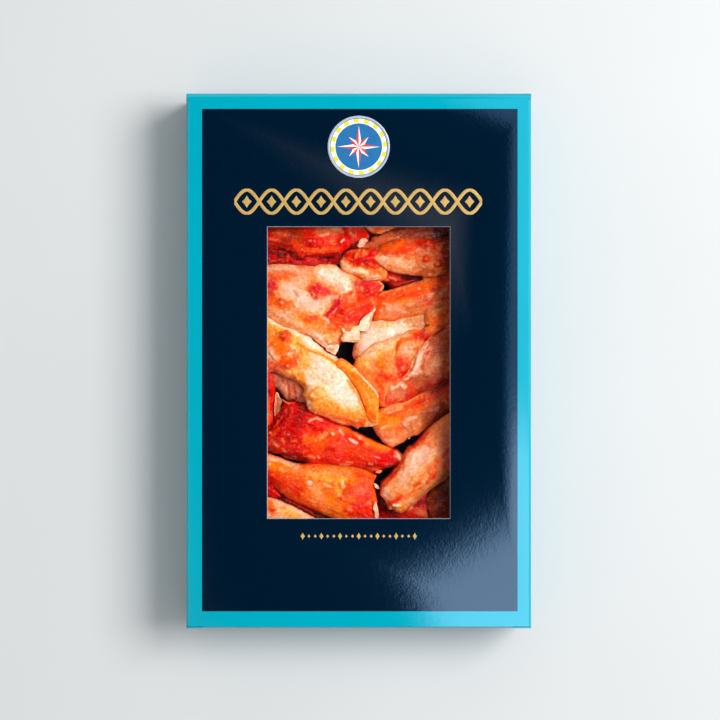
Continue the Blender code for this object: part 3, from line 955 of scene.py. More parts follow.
def paint_and_file(piece, places, slot, base, rim, strokes, knobs, seed, fibre, shade):
    """Colours a sculpted piece, gives it its material, hangs it on the model's body and keeps its triangle count and
    its points.
    """
    mesh = piece.data
    normals = points_of(mesh)[1]
    colours = paint_points(places, normals, base, rim, strokes, knobs, seed, shade)
    paint = mesh.color_attributes.new("paint", "FLOAT_COLOR", "POINT")
    paint.data.foreach_set("color", np.column_stack((colours, np.ones(len(colours)))).ravel())
    run = mesh.attributes.new("fibre", "FLOAT_VECTOR", "POINT")
    run.data.foreach_set("vector", (fibre * MM).ravel())
    mesh.materials.clear()
    mesh.materials.append(FINISH[slot])
    bpy.ops.object.shade_smooth()
    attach(piece, "root")
    counts[piece.name] = sum(len(face.vertices) - 2 for face in mesh.polygons)
    meat_points.append(places)


def dress(node_name, slot, outline, crest, base, rim, strokes, knobs=(), ridges=(), skins=(), drop=6.0,
          shoulder=7.0, rag=0.35, lumps=0.3):
    seed = sum(ord(letter) for letter in node_name)
    piece = clay(node_name + "_meat", outline, SLAB, VOXEL)
    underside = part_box(node_name)[0][2] / MM
    puff(piece, outline, underside, crest, drop, shoulder, rag, seed)
    line = spine(points_of(piece.data)[0][:, :2])
    places, fibre = carve(piece.data, line, knobs, ridges, skins, lumps, seed)
    paint_and_file(piece, places, slot, base, rim, strokes, knobs, seed, fibre, 0.75)
    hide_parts(node_name)
    return piece



# %% [markdown]
# ## The meat, piece by piece
#
# Each piece is described as it lies in the window, in millimetres from the carton's middle: x to the
# right and y towards the top. First comes the outline, then the heights of the crest as x, y and
# height, and then the paint. Strokes go from the broad ones to the fine ones, as with a brush.

# %% Top left leg
dress("leg_top_left", "red_meat", (
    -58, 66, -40, 68, -20, 67, -9, 66, -6.4, 62.6, -4, 60.2, -2.8, 57.6, -4.2, 54.6, -6.4, 52.6, -8.2, 50.4,
    -12, 50.4, -18, 49.4, -24, 49.2, -29.5, 48.7, -32.6, 49.6, -34, 51.6, -37, 52.6, -43, 52.6, -58, 51.5),
    (-45, 59, 24.5, -20, 58, 26, -6, 57, 25), "vermilion", "crimson", [
    # Painted shade: the darker red over the upper left and the brown along the top edge stand for the shadow of the
    # window's top edge.
    ("red", 0.6, 4.2, -44, 61, -33, 61),
    ("crimson", 0.8, 3.2, -44, 55.0, -36, 54.2),
    ("brown", 0.8, 3.2, -32, 62, -27, 55),
    ("rose", 0.75, 1.5, -40, 60.6, -33, 60),
    ("brown", 0.6, 1.4, -44, 63, -38, 63),
    ("crimson", 0.5, 1.6, -36, 58, -32, 60),
    ("blush", 0.6, 0.8, -39, 61.4, -35, 60),
    ("blush", 0.6, 0.6, -43, 58.4, -39, 57.6),
    ("brown", 0.5, 1.4, -37, 56.8, -33, 58.2),
    ("wine", 0.8, 1.1, -38, 53.6, -30, 51),
    ("flame", 0.7, 1.8, -30, 56, -26, 53),
    ("brown", 0.5, 1.6, -14, 61, -8, 60),
    ("blush", 0.75, 2.0, -19, 62, -9, 63),
    ("petal", 0.7, 1.0, -13, 63.2, -9, 63.4),
    ("petal", 0.75, 0.7, -18.4, 59.7, -14.6, 60.5),
    ("rose", 0.7, 1.8, -16, 58.4, -10, 59.5),
    ("orange", 0.5, 1.2, -24, 52.6, -16, 52.8, -10, 53.8),
    ("peach", 0.5, 0.5, -22, 53.4, -15, 53.2),
    ("red", 0.97, 2.5, -23.4, 56.8, -20, 56.4),
    ("magenta", 0.6, 1.0, -23, 57, -21, 56.6),
    ("vermilion", 0.8, 1.6, -18, 56.2, -13.4, 55.4),
    ("peach", 0.8, 1.2, -12.6, 57, -11, 56.2),
    ("red", 0.95, 3.0, -8, 56.6, -5.6, 56),
    ("red", 0.9, 1.6, -6.2, 60.5, -3.6, 58),
    ("wine", 0.7, 0.9, -33, 50.4, -28, 49.4),
    ("crimson", 0.8, 1.1, -25, 49.8, -17, 50.2, -9, 51),
    ("magenta", 0.6, 1.2, -7.4, 57, -5.4, 58),
    # Painted highlights: the two tiny pale marks on the knobs are glints.
    ("white", 0.8, 0.4, -8.2, 56.8, -7, 57.9),
    ("petal", 0.7, 0.4, -23.6, 57.2, -22.8, 57.2),
    ("petal", 0.7, 0.45, -27, 53),
    ("rose", 0.6, 0.5, -37.8, 57.2)],
    ridges=[(0.9, 2.0, -22, 56.4), (0.9, 2.2, -7.4, 57), (0.5, 0.6, -18.6, 59.6, -14.6, 60.6),
            (-0.5, 0.6, -25, 54.2, -19, 54)], drop=4.5, shoulder=7, rag=0.45)

# %% The pieces behind it, along the top
dress("strip_top", "red_meat", (
    -9, 66, -8, 60, -6, 56, -4, 53.6, -1.6, 53.8, 0, 54.4, 1.6, 55.4, 3.8, 56.4, 5.2, 58.8, 5.4, 60.4,
    4.4, 62, 2.6, 64, 4, 80, -14, 80, -10, 70),
    (-1, 60, 22.5, -4, 70, 23), "vermilion", "crimson", [
    ("wine", 0.85, 1.0, -4, 54.4, -1.4, 56, 2, 57),
    ("rose", 0.7, 0.9, -5, 62.6, 3, 63),
    ("petal", 0.6, 0.5, -4, 61, -2, 59.4),
    ("vermilion", 0.6, 0.8, 0, 61.4, 4.5, 60.8),
    ("brown", 0.8, 0.6, -7, 63.6)], drop=2.5, shoulder=3, rag=0.5)
dress("leg_top_behind", "salmon_meat", (
    0.2, 54.2, 1.4, 55.8, 3.6, 57, 5.4, 57.8, 6, 59.6, 9, 60.4, 13, 62, 17, 64, 22, 66, 30, 72, 58, 74, 58, 58,
    44, 57, 32, 56, 20, 55, 12, 53, 6, 53, 2, 53.4),
    (4, 56, 20.5, 14, 58.5, 22.5, 44, 64, 21), "tan", "brown", [
    ("rose", 0.45, 2.4, 3, 56, 14, 59),
    ("blush", 0.55, 1.6, 9, 58.4, 19, 60),
    # Painted shade: this leg lies under the window's top right edge, and the brown, umber and near-black strokes over
    # its right part stand for that shadow.
    ("brown", 0.85, 4.0, 20, 62, 32, 61),
    ("umber", 0.8, 3.6, 38, 63, 45, 62),
    ("soot", 0.7, 1.6, 41, 60, 44, 59),
    ("crimson", 0.5, 1.0, 16, 63.4, 24, 63.6),
    ("petal", 0.6, 0.5, 19, 59),
    ("flame", 0.4, 0.8, 9, 56.4, 14, 57.6)], drop=3, shoulder=4)
dress("tip_top_centre", "orange_meat", (
    3.4, 63.4, 4.4, 62.4, 5.6, 61.6, 8, 61, 10.4, 60.8, 12, 61.6, 15, 62.8, 19, 64.4, 21, 70, 16, 80, 2, 80,
    2, 66),
    (8, 63, 22, 8, 75, 23), "orange", "tan", [
    ("petal", 0.8, 1.0, 4.6, 63.4, 6.4, 62.4),
    ("flame", 0.9, 1.0, 8.6, 63.4),
    ("cream", 0.8, 0.5, 9, 61.2, 12, 62, 17, 63.8)], drop=2.5, shoulder=2.5, rag=0.5)

# %% Top right: knuckle, claw and the scrap under them
dress("underside_top_right", "red_meat", (
    6, 47.5, 10, 46.6, 14, 43.6, 20, 42.2, 28, 42, 36, 42.5, 50, 46, 50, 36, 30, 35.6, 20, 34.4, 16.6, 35.2,
    15, 36.6, 12.8, 37.6, 11, 38.6, 7, 40.5),
    (10, 43, 21, 20, 38, 19, 40, 40, 17), "crimson", "wine", [
    ("wine", 0.85, 2.4, 19, 39.6, 32, 39),
    ("red", 0.9, 2.0, 8, 45.5, 13, 42, 18, 40),
    ("flame", 0.9, 1.0, 9.4, 43.8, 13, 41),
    ("rose", 0.8, 0.7, 13.6, 40.6, 18.6, 39.4, 22, 39.6),
    ("pink", 0.7, 0.6, 14, 42.6, 18, 41),
    ("flame", 0.6, 0.5, 20, 37.4, 26, 38.6),
    ("petal", 0.7, 0.35, 15, 40.2, 17, 39.4),
    # Painted shadow: the near-black stroke and the dark wine beside it are the gap under the claw.
    ("soot", 0.8, 0.8, 21, 39.8, 27, 39.6),
    ("wine", 0.8, 1.0, 24, 40.6, 34, 40),
    ("blush", 0.8, 0.6, 11.6, 39.2, 14.2, 38.8),
    ("rose", 0.5, 0.5, 16, 37, 20, 36.2),
    ("petal", 0.5, 0.35, 16.6, 41, 18, 38.4)], drop=3, shoulder=3, rag=0.6)
dress("claw_top_right", "orange_meat", (
    6, 49.6, 6.3, 47.7, 8.8, 46.5, 11, 45.4, 13, 43.9, 15.5, 42.7, 18.5, 41.8, 21.5, 41.6, 24.5, 40.9,
    27.5, 40.6, 31, 40.2, 36, 40, 40, 41, 45, 43, 58, 47, 58, 60, 44, 60, 38, 59.2, 32, 58.4, 26, 58.9,
    20, 58.8, 16, 57.9, 12, 56, 9, 54, 7.2, 51.8),
    (9, 50, 27, 20, 50, 27.5, 32, 50, 26.5, 45, 52, 24.5), "peach", "flame", [
    ("tan", 0.8, 6.0, 20, 50, 44, 50),
    # Painted shade: the brown and umber strokes over the right part stand for the shadow of the window's right edge.
    ("brown", 0.4, 6.0, 26, 52, 44, 50),
    ("brown", 0.4, 3.6, 37, 56, 38, 44),
    ("rose", 0.6, 3.0, 41, 56, 41, 44),
    ("brown", 0.7, 3.0, 43, 58, 44, 44),
    ("umber", 0.5, 1.6, 44, 58, 45, 46),
    ("brown", 0.6, 1.8, 34, 59.5, 44, 57),
    ("tan", 0.8, 3.0, 25, 45, 33, 46),
    ("tan", 0.5, 1.6, 30, 45, 40, 43),
    ("rose", 0.5, 1.4, 22, 56.4, 28, 56),
    ("rose", 0.5, 3.0, 24, 54.6, 31, 54),
    ("flame", 0.95, 3.0, 9, 53, 20, 54, 25, 52),
    ("orange", 0.8, 1.4, 9, 53.6, 18, 54.6),
    ("red", 0.5, 1.0, 12, 51.4, 22, 51),
    ("orange", 0.7, 1.3, 14, 56, 20, 56.4),
    ("cream", 0.95, 2.1, 10, 48.6, 17, 47.2, 25, 45.6),
    ("petal", 0.7, 0.9, 12, 48.6, 21, 47.2),
    ("peach", 0.7, 1.0, 20, 49.4, 30, 48.6),
    ("red", 0.85, 0.8, 15.2, 57.6, 19.4, 57.6),
    ("peach", 0.8, 0.35, 16.2, 57.6, 18.4, 57.4),
    ("red", 0.9, 1.5, 32.3, 48.4),
    ("crimson", 0.9, 1.4, 37.8, 46.1),
    ("crimson", 0.9, 2.8, 30, 57, 36, 56.8),
    ("vermilion", 0.6, 1.2, 26, 57.4, 31, 57),
    ("petal", 0.4, 1.1, 28.4, 52.6, 33, 51),
    ("petal", 0.6, 0.5, 24, 51.2, 26, 51.6),
    ("flame", 0.9, 0.9, 27.2, 49.1),
    ("crimson", 0.6, 1.0, 40, 52, 42, 46),
    ("brown", 0.6, 1.0, 30, 43.0, 36, 42.8),
    ("brown", 0.6, 0.6, 27.6, 41.8, 33, 41),
    ("petal", 0.95, 0.45, 9.6, 46.3, 11.4, 45.1, 14.2, 43.6),
    ("petal", 0.9, 0.5, 16.6, 42.9, 19.4, 42, 21.4, 41.9),
    ("petal", 0.8, 0.4, 24.6, 41.4, 26.8, 41)],
    knobs=[(33.4, 56.2, 1.7, 0.9, "vermilion", "tan"), (32.3, 48.4, 1.7, 1.0, "red", "amber"),
           (37.8, 46.1, 1.7, 0.8, "crimson", "tan"), (17.4, 57.3, 1.5, 0.3, "vermilion", "peach")],
    ridges=[(-0.7, 0.7, 8, 50.6, 14, 49.4, 22, 49.2), (0.5, 0.5, 9.6, 46.5, 14.4, 43.8, 21.4, 42)],
    drop=4.2, shoulder=6.5, rag=0.3)
dress("knuckle_top_right", "cream_meat", (
    -9.2, 46, -8.7, 48.4, -7.2, 50.2, -6.2, 52.2, -4.4, 53.2, -2, 53.5, 1, 53.8, 4, 53.4, 6.4, 54.2,
    8.4, 54.3, 10.4, 53, 11, 50, 11, 48, 12, 46, 13.6, 43.8, 14.2, 41.6, 12.8, 39.6, 10.6, 38.6, 7, 38.4,
    3.5, 38.2, 0, 39.2, -1.8, 40.6, -4, 41.2, -7, 42.3, -8.6, 43.9),
    (-5, 46, 26.5, 2, 48, 27, 4, 42, 26, 11, 46, 23.5), "peach", "orange", [
    ("cream", 0.95, 1.7, -7.6, 46.6, -5.6, 44.2),
    ("ivory", 0.95, 1.4, -3, 43, 3, 42.4),
    ("orange", 0.9, 1.5, 5, 44.2, 8, 42.6, 11, 41.6),
    ("amber", 0.8, 0.8, -5, 48.6, -3.6, 46.4),
    ("vermilion", 0.95, 3.2, -5, 50.8, 0, 50, 6, 51),
    ("vermilion", 0.92, 2.8, -3, 48.6, 2, 47.6, 7, 47.6),
    ("rose", 0.8, 1.2, 8, 49, 11, 48),
    ("vermilion", 0.8, 0.9, 9, 46.6, 11.6, 44.6),
    ("red", 0.97, 2.5, -0.8, 47.6, 6, 47.6, 9, 46.4),
    ("crimson", 0.6, 1.0, 2, 47, 6, 47),
    ("red", 0.8, 0.7, -4.6, 50.6, -1.6, 48.2),
    ("red", 0.9, 1.3, 6, 50.4, 7.6, 53.4),
    ("vermilion", 0.9, 1.0, -5.6, 51.4, -4, 49.4),
    ("amber", 0.9, 0.6, -0.4, 52.4, -1.4, 49.4),
    ("peach", 0.9, 0.6, 2.2, 52.4, 2.2, 50.8),
    ("peach", 0.8, 0.5, 3.8, 52.4, 3.6, 50.8),
    ("peach", 0.8, 0.4, 1.8, 46, 2.2, 45.4),
    # Painted highlight: a white glint.
    ("white", 0.8, 0.5, -4.8, 45.3),
    ("blush", 0.95, 0.9, 1.6, 39.4, 5, 40, 9.6, 40),
    ("petal", 0.7, 0.45, 4, 40.4, 9, 40.7),
    ("amber", 0.7, 0.4, 0, 39.7, 3, 40.4)],
    ridges=[(0.8, 0.6, -0.4, 52.6, -1.6, 49), (0.8, 0.6, 2.2, 52.6, 2.2, 50.4), (0.7, 0.5, 4, 52.4, 3.8, 50),
            (-0.7, 0.6, -7, 50, -4, 47, 0, 45.2, 6, 45), (0.7, 0.6, 1.6, 39.6, 9.6, 40.4)],
    drop=3.2, shoulder=4, rag=0.35)

# %% The big leg at the left
dress("merus_left", "cream_meat", (
    -58, 46, -43, 46.3, -38, 46.8, -34, 46.3, -28, 45.8, -24.5, 45.3, -21.5, 45.3, -19, 46.3, -14, 46.4,
    -10.5, 45.6, -8.6, 44, -7, 43.4, -3, 42, 0, 40.6, 4, 39.8, 9.6, 38.4, 11.4, 37.3, 12.2, 35.8, 10.9, 33.2,
    9, 32, 8.2, 29, 8.5, 25.2, 7, 23.6, 4, 21.3, 1.5, 19.1, 0.6, 17.4, -1, 14, -3, 10.5, -7.4, 9, -8.6, 9.4,
    -9.2, 7.4, -10, 5.2, -11, 3.4, -15, 4.6, -18, 6.6, -20.6, 9, -23.4, 10, -30, 11, -36, 13.6, -43, 18,
    -58, 25),
    (-45, 34, 25, -25, 28, 26.5, -12, 38, 26, 2, 34, 24.5, -4, 20, 25.5, -10, 9, 24), "peach", "orange", [
    ("blush", 0.5, 2.6, -44, 44, -34, 43.6, -24, 43),
    ("petal", 0.8, 1.6, -43, 44, -38, 43.4, -31, 44.2),
    ("rose", 0.6, 0.8, -40, 42.4, -34, 42),
    ("petal", 0.6, 0.7, -42, 45.8, -36, 46.2, -30, 45.5),
    ("petal", 0.7, 1.0, -29, 42.8, -24, 42),
    ("flame", 0.65, 1.3, -44, 40.8, -37, 39.6),
    ("flame", 0.85, 1.0, -35, 39.8, -30.8, 40.8),
    ("cream", 0.9, 3.0, -36, 35, -27, 35.4),
    ("cream", 0.97, 4.8, -33, 31.6, -25, 28, -20, 26.4),
    ("petal", 0.9, 3.6, -33, 34, -26, 30, -20, 28),
    ("white", 0.7, 2.4, -31, 33, -25, 31),
    ("petal", 0.5, 3.0, -30, 38, -26, 39.6),
    ("petal", 0.5, 2.8, -26, 27, -17, 26, -14, 29),
    ("flame", 0.8, 2.6, -43, 31.6, -40.6, 29),
    ("orange", 0.8, 2.0, -39, 27.8, -33.4, 27.4),
    ("blush", 0.4, 2.6, -43, 25, -37, 22, -31, 19.6),
    ("cream", 0.85, 2.2, -40, 22.6, -34, 20, -28, 17),
    ("petal", 0.7, 1.2, -36, 23, -30, 21.6),
    ("tan", 0.7, 0.9, -44, 24.4, -40, 21.6, -33, 17.6, -27, 14.6),
    ("amber", 0.5, 1.8, -29, 21, -22, 18.6, -17, 18),
    ("orange", 0.5, 1.6, -26, 22, -20, 20, -16, 17),
    ("petal", 0.95, 3.4, -17.4, 41.6, -11, 41.8, -7.4, 38.6),
    ("petal", 0.9, 2.3, -12.6, 37, -7, 34.8, -5, 35),
    ("white", 0.8, 2.4, -13.4, 42, -9, 39.6, -5.6, 36.6, -4, 34.6),
    ("white", 0.9, 1.6, -17, 42.6, -12, 37.6),
    ("petal", 0.6, 0.7, -16, 39.4, -13.6, 37),
    ("cream", 0.7, 1.2, -19.4, 44.8, -11, 45.2),
    ("flame", 0.9, 3.0, -22, 34.4, -17, 32.6),
    ("rose", 0.8, 1.1, -16, 33.2, -11.6, 31.7),
    ("petal", 0.8, 1.4, -14.6, 29.4, -11.4, 29.8),
    ("peach", 0.9, 3.0, -17.6, 15.6, -11, 13.4, -9, 15),
    ("orange", 0.7, 1.4, -15, 15, -11, 15.6),
    ("cream", 0.8, 1.2, -19, 12.6, -14, 10.4, -11, 10.8),
    ("petal", 0.8, 0.8, -14, 8.6, -11, 6.4),
    ("flame", 0.97, 4.6, -10.6, 20.6, -2, 19.4, 2, 22),
    ("flame", 0.97, 4.4, -4, 26, 3, 27),
    ("vermilion", 0.9, 2.8, -4, 21, 3, 21.6, 5, 26),
    ("red", 0.9, 1.8, -11.6, 22.6, -8.2, 24),
    ("blush", 0.85, 1.9, -1.6, 38, -1.8, 33, -4.2, 29.6),
    ("petal", 0.7, 0.6, -2.2, 37, -1.6, 33.4, -2.8, 30.8),
    ("flame", 0.9, 0.7, -3.6, 32.6, -6.4, 31.2, -8.8, 29.2),
    ("rose", 0.8, 0.9, -5.4, 29.4, -8, 26.6, -11, 23.6),
    ("red", 0.9, 1.8, -11, 27.8, -10.4, 25.6),
    ("magenta", 0.97, 1.1, -8.6, 30.4, -9.8, 27, -12, 24.6, -14.2, 22.4, -15.6, 21),
    ("petal", 0.8, 0.4, -7.6, 31, -8.6, 29.4),
    ("petal", 0.7, 0.35, -10.8, 24.6, -12.4, 22.8),
    ("magenta", 0.95, 3.3, 2.4, 36, 8.4, 35.4),
    ("red", 0.95, 2.4, 4, 32.4, 7, 32),
    ("vermilion", 0.8, 1.6, 0.4, 33.4, 1, 30),
    ("rose", 0.7, 0.8, 6.4, 34.6, 9.6, 33.6),
    ("peach", 0.9, 0.5, 1.5, 35, 1.7, 34.2),
    ("cream", 0.95, 0.7, 10, 37.9, 11.8, 36.2, 11, 33.6),
    ("rose", 0.7, 0.5, 8, 30, 8.1, 25.6),
    ("flame", 0.85, 1.3, -25.4, 19.4, -21, 20.4),
    ("rose", 0.8, 0.9, -23.6, 20.7, -19.8, 20.8),
    ("petal", 0.9, 0.7, -16, 20.4, -14.2, 18.6),
    ("peach", 0.8, 0.6, -16.4, 17.4, -15.8, 16),
    ("peach", 0.7, 1.6, -13, 11.4, -9, 10.6),
    ("rose", 0.6, 0.7, -13, 7.6, -10.4, 8.4),
    ("tan", 0.85, 0.9, -22.4, 12.4, -18.4, 9.4, -15.4, 6.4),
    ("petal", 0.8, 0.7, -24, 14, -20.6, 13.2, -17.6, 11),
    ("brown", 0.5, 0.35, -21, 11.6, -17.4, 8.4, -15.6, 6.6),
    ("petal", 0.6, 0.5, -39.4, 31, -38.6, 30.4),
    ("magenta", 0.97, 2.0, -42.6, 36.6, -40.6, 35.6),
    ("red", 0.8, 1.0, -41, 34.4, -39.6, 34.6),
    # Painted highlights: white and pale glints on the left knob.
    ("white", 0.9, 0.45, -42.8, 37.8, -41.8, 37.6),
    ("petal", 0.8, 0.4, -40.6, 36.8),
    ("magenta", 0.97, 1.7, -20.6, 34.4, -18.2, 32.8),
    ("pink", 0.8, 1.0, -17, 32.6, -14.4, 32.2),
    ("petal", 0.8, 0.5, -22.4, 36, -20.8, 36.2),
    # Painted highlights: white glints on the middle knob.
    ("white", 0.9, 0.4, -20.2, 34.8),
    ("white", 0.8, 0.35, -18.4, 33),
    ("rose", 0.7, 1.0, -24.4, 33.6, -22.6, 35.6),
    ("rose", 0.6, 0.6, -31, 33.6, -29, 31)],
    knobs=[(-41, 36.2, 3.1, 1.2, "pink", "magenta"), (-19.4, 33.4, 3.0, 1.5, "magenta", "pink"),
           (-36.4, 27.6, 2.0, 0.6, "vermilion", "cream")],
    ridges=[(1.2, 0.8, -0.6, 38, -1.8, 33, -4.2, 30, -9.6, 26.6, -14.6, 21.6), (0.8, 0.7, -3.4, 32.8, -8.8, 29.2),
            (-0.6, 0.7, -3, 37.6, -2.6, 33.8, -6.4, 31.6), (0.5, 1.2, -7, 24, -6.6, 17.6), (0.9, 0.5, -15, 19.6),
            (0.7, 0.7, -22.6, 13.8, -17.4, 10.8), (-0.7, 0.5, -21, 12, -15.8, 7), (0.6, 0.6, 9.8, 38, 11.8, 36, 11, 33.8)],
    skins=[(0.7, 2.5, -11.4, 31.2, -15.6, 34.8, -20, 38.4), (0.6, 3, -14, 10, -16, 14, -15.4, 19)],
    drop=3.6, shoulder=6, rag=0.35, lumps=0.4)

# %% The legs at the right
dress("leg_orange_right", "orange_meat", (
    8, 30.6, 9, 32.2, 11, 33.6, 14, 33.9, 17.5, 34.9, 22, 36.3, 27, 37.7, 30.2, 38.9, 30.8, 40.6, 32, 40.9,
    33, 40.3, 37, 40.8, 41, 42.4, 45, 44, 58, 48, 58, 30, 44, 25, 38, 23.5, 34, 22, 26, 20.4, 21, 19.6,
    16, 18, 13, 18, 11, 18.8, 8, 18, 6.8, 18.9, 6.2, 20.5, 6, 23, 5.6, 25.5, 5.4, 28),
    (10, 26, 23.5, 24, 28, 24.5, 45, 35, 22.5), "orange", "flame", [
    ("tan", 0.6, 5.0, 18, 24, 42, 30),
    ("flame", 0.9, 2.8, 10, 31, 20, 32, 28, 34),
    ("orange", 0.8, 1.6, 14, 34, 24, 35, 30, 33),
    ("flame", 0.6, 1.2, 9, 28, 9, 22),
    ("peach", 0.7, 1.2, 18, 27.6, 29, 28.4),
    ("tan", 0.6, 1.3, 21, 23.6, 29, 23.6, 36, 26),
    ("petal", 0.85, 1.5, 14.6, 25.2, 19.6, 24.6),
    ("petal", 0.7, 1.1, 11, 21.6, 16, 21.2),
    ("blush", 0.7, 1.6, 12, 22.6, 20, 21.6),
    ("petal", 0.8, 0.5, 10.4, 24, 11, 23.4),
    ("blush", 0.8, 0.6, 27, 29.6, 28.4, 28),
    ("flame", 0.6, 2.6, 29, 32, 32, 28),
    ("tan", 0.5, 2.0, 27, 26, 31, 30),
    ("flame", 0.7, 3.0, 36, 36, 44, 38),
    ("tan", 0.6, 2.4, 36, 28, 44, 29),
    # Painted shade: brown towards the right end, under the window's right edge.
    ("brown", 0.5, 1.4, 38, 38.6, 44, 40),
    ("flame", 0.6, 1.0, 34, 27, 42, 30),
    ("rose", 0.5, 1.6, 33, 29, 36, 33),
    ("crimson", 0.5, 2.0, 38, 34, 43, 29),
    ("orange", 0.6, 2.0, 31, 34, 36, 38),
    ("tan", 0.85, 0.9, 18, 34.4, 25, 36.4, 30.4, 38.2, 34, 39.8),
    ("blush", 0.8, 0.8, 36.6, 40.2, 40.4, 41.6),
    ("tan", 0.8, 1.0, 30.8, 40.4, 33, 39.4),
    ("petal", 0.8, 0.8, 34, 30.8, 35.6, 32),
    ("petal", 0.7, 1.0, 39.6, 32, 41, 34),
    ("petal", 0.5, 0.7, 36, 27.4, 39, 28.4),
    ("blush", 0.8, 0.5, 32, 26.2, 36, 26),
    ("peach", 0.8, 0.5, 9.6, 31.6, 14, 33.2, 20, 34.6),
    ("petal", 0.7, 0.7, 23, 26.6, 26, 27.4),
    ("petal", 0.7, 0.5, 12, 27.4, 14, 26.8),
    ("petal", 0.8, 0.45, 20.6, 23.4, 22.6, 23),
    ("petal", 0.8, 0.4, 11, 24.8),
    ("petal", 0.95, 0.5, 29, 34.6),
    ("petal", 0.8, 0.45, 17, 32.2),
    ("petal", 0.8, 0.4, 17.2, 26.8),
    ("blush", 0.9, 0.45, 8, 30.6, 8.2, 26)],
    ridges=[(-0.5, 0.6, 17, 30.4, 30, 33.6), (0.5, 0.6, 18, 34.4, 30, 38.2), (0.5, 1, 11, 24, 20, 25)],
    drop=3.4, shoulder=6.5, rag=0.35)
dress("lobe_right", "cream_meat", (
    -2.5, 1.2, -3.2, 3, -2.6, 6, -1.3, 9, -0.4, 12.4, 0.4, 13.8, 2, 14.6, 3, 16.6, 4.2, 18.6, 7, 19.4,
    11, 20.4, 14, 20.6, 17, 20.8, 21, 22.4, 26, 23.4, 30, 24.4, 31.5, 24.4, 36, 24, 44, 24, 44, 14, 33, 12,
    28, 12, 24, 11, 18, 8.5, 12, 6.5, 6, 4.5, 3, 2.5, 0, 0.6, -1.5, 0.6),
    (2, 8, 22.6, 10, 12, 22.6, 18, 14, 22.8, 32, 19, 22.4), "petal", "cream", [
    ("tan", 0.75, 1.6, -1.8, 3, -0.8, 8),
    ("petal", 0.9, 2.4, 2, 7.4, 8, 12),
    ("ivory", 0.85, 2.8, 6, 13, 16, 14.6, 25, 18),
    ("white", 0.95, 2.2, 3, 9, 10, 12, 21, 15.4),
    ("butter", 0.4, 1.0, 6, 17, 11, 17.4, 16, 17.2),
    ("butter", 0.4, 1.8, 22, 20, 29, 22),
    ("tan", 0.8, 2.0, 24, 19.4, 30, 19.2),
    ("tan", 0.7, 0.8, 27, 16.4, 31, 16.6),
    ("brown", 0.7, 0.35, 26.2, 16.6),
    ("brown", 0.7, 0.5, -1.8, 1.6, -0.6, 2.2),
    ("butter", 0.7, 0.7, 12, 9.4, 13, 9)], drop=3, shoulder=5, rag=0.25)
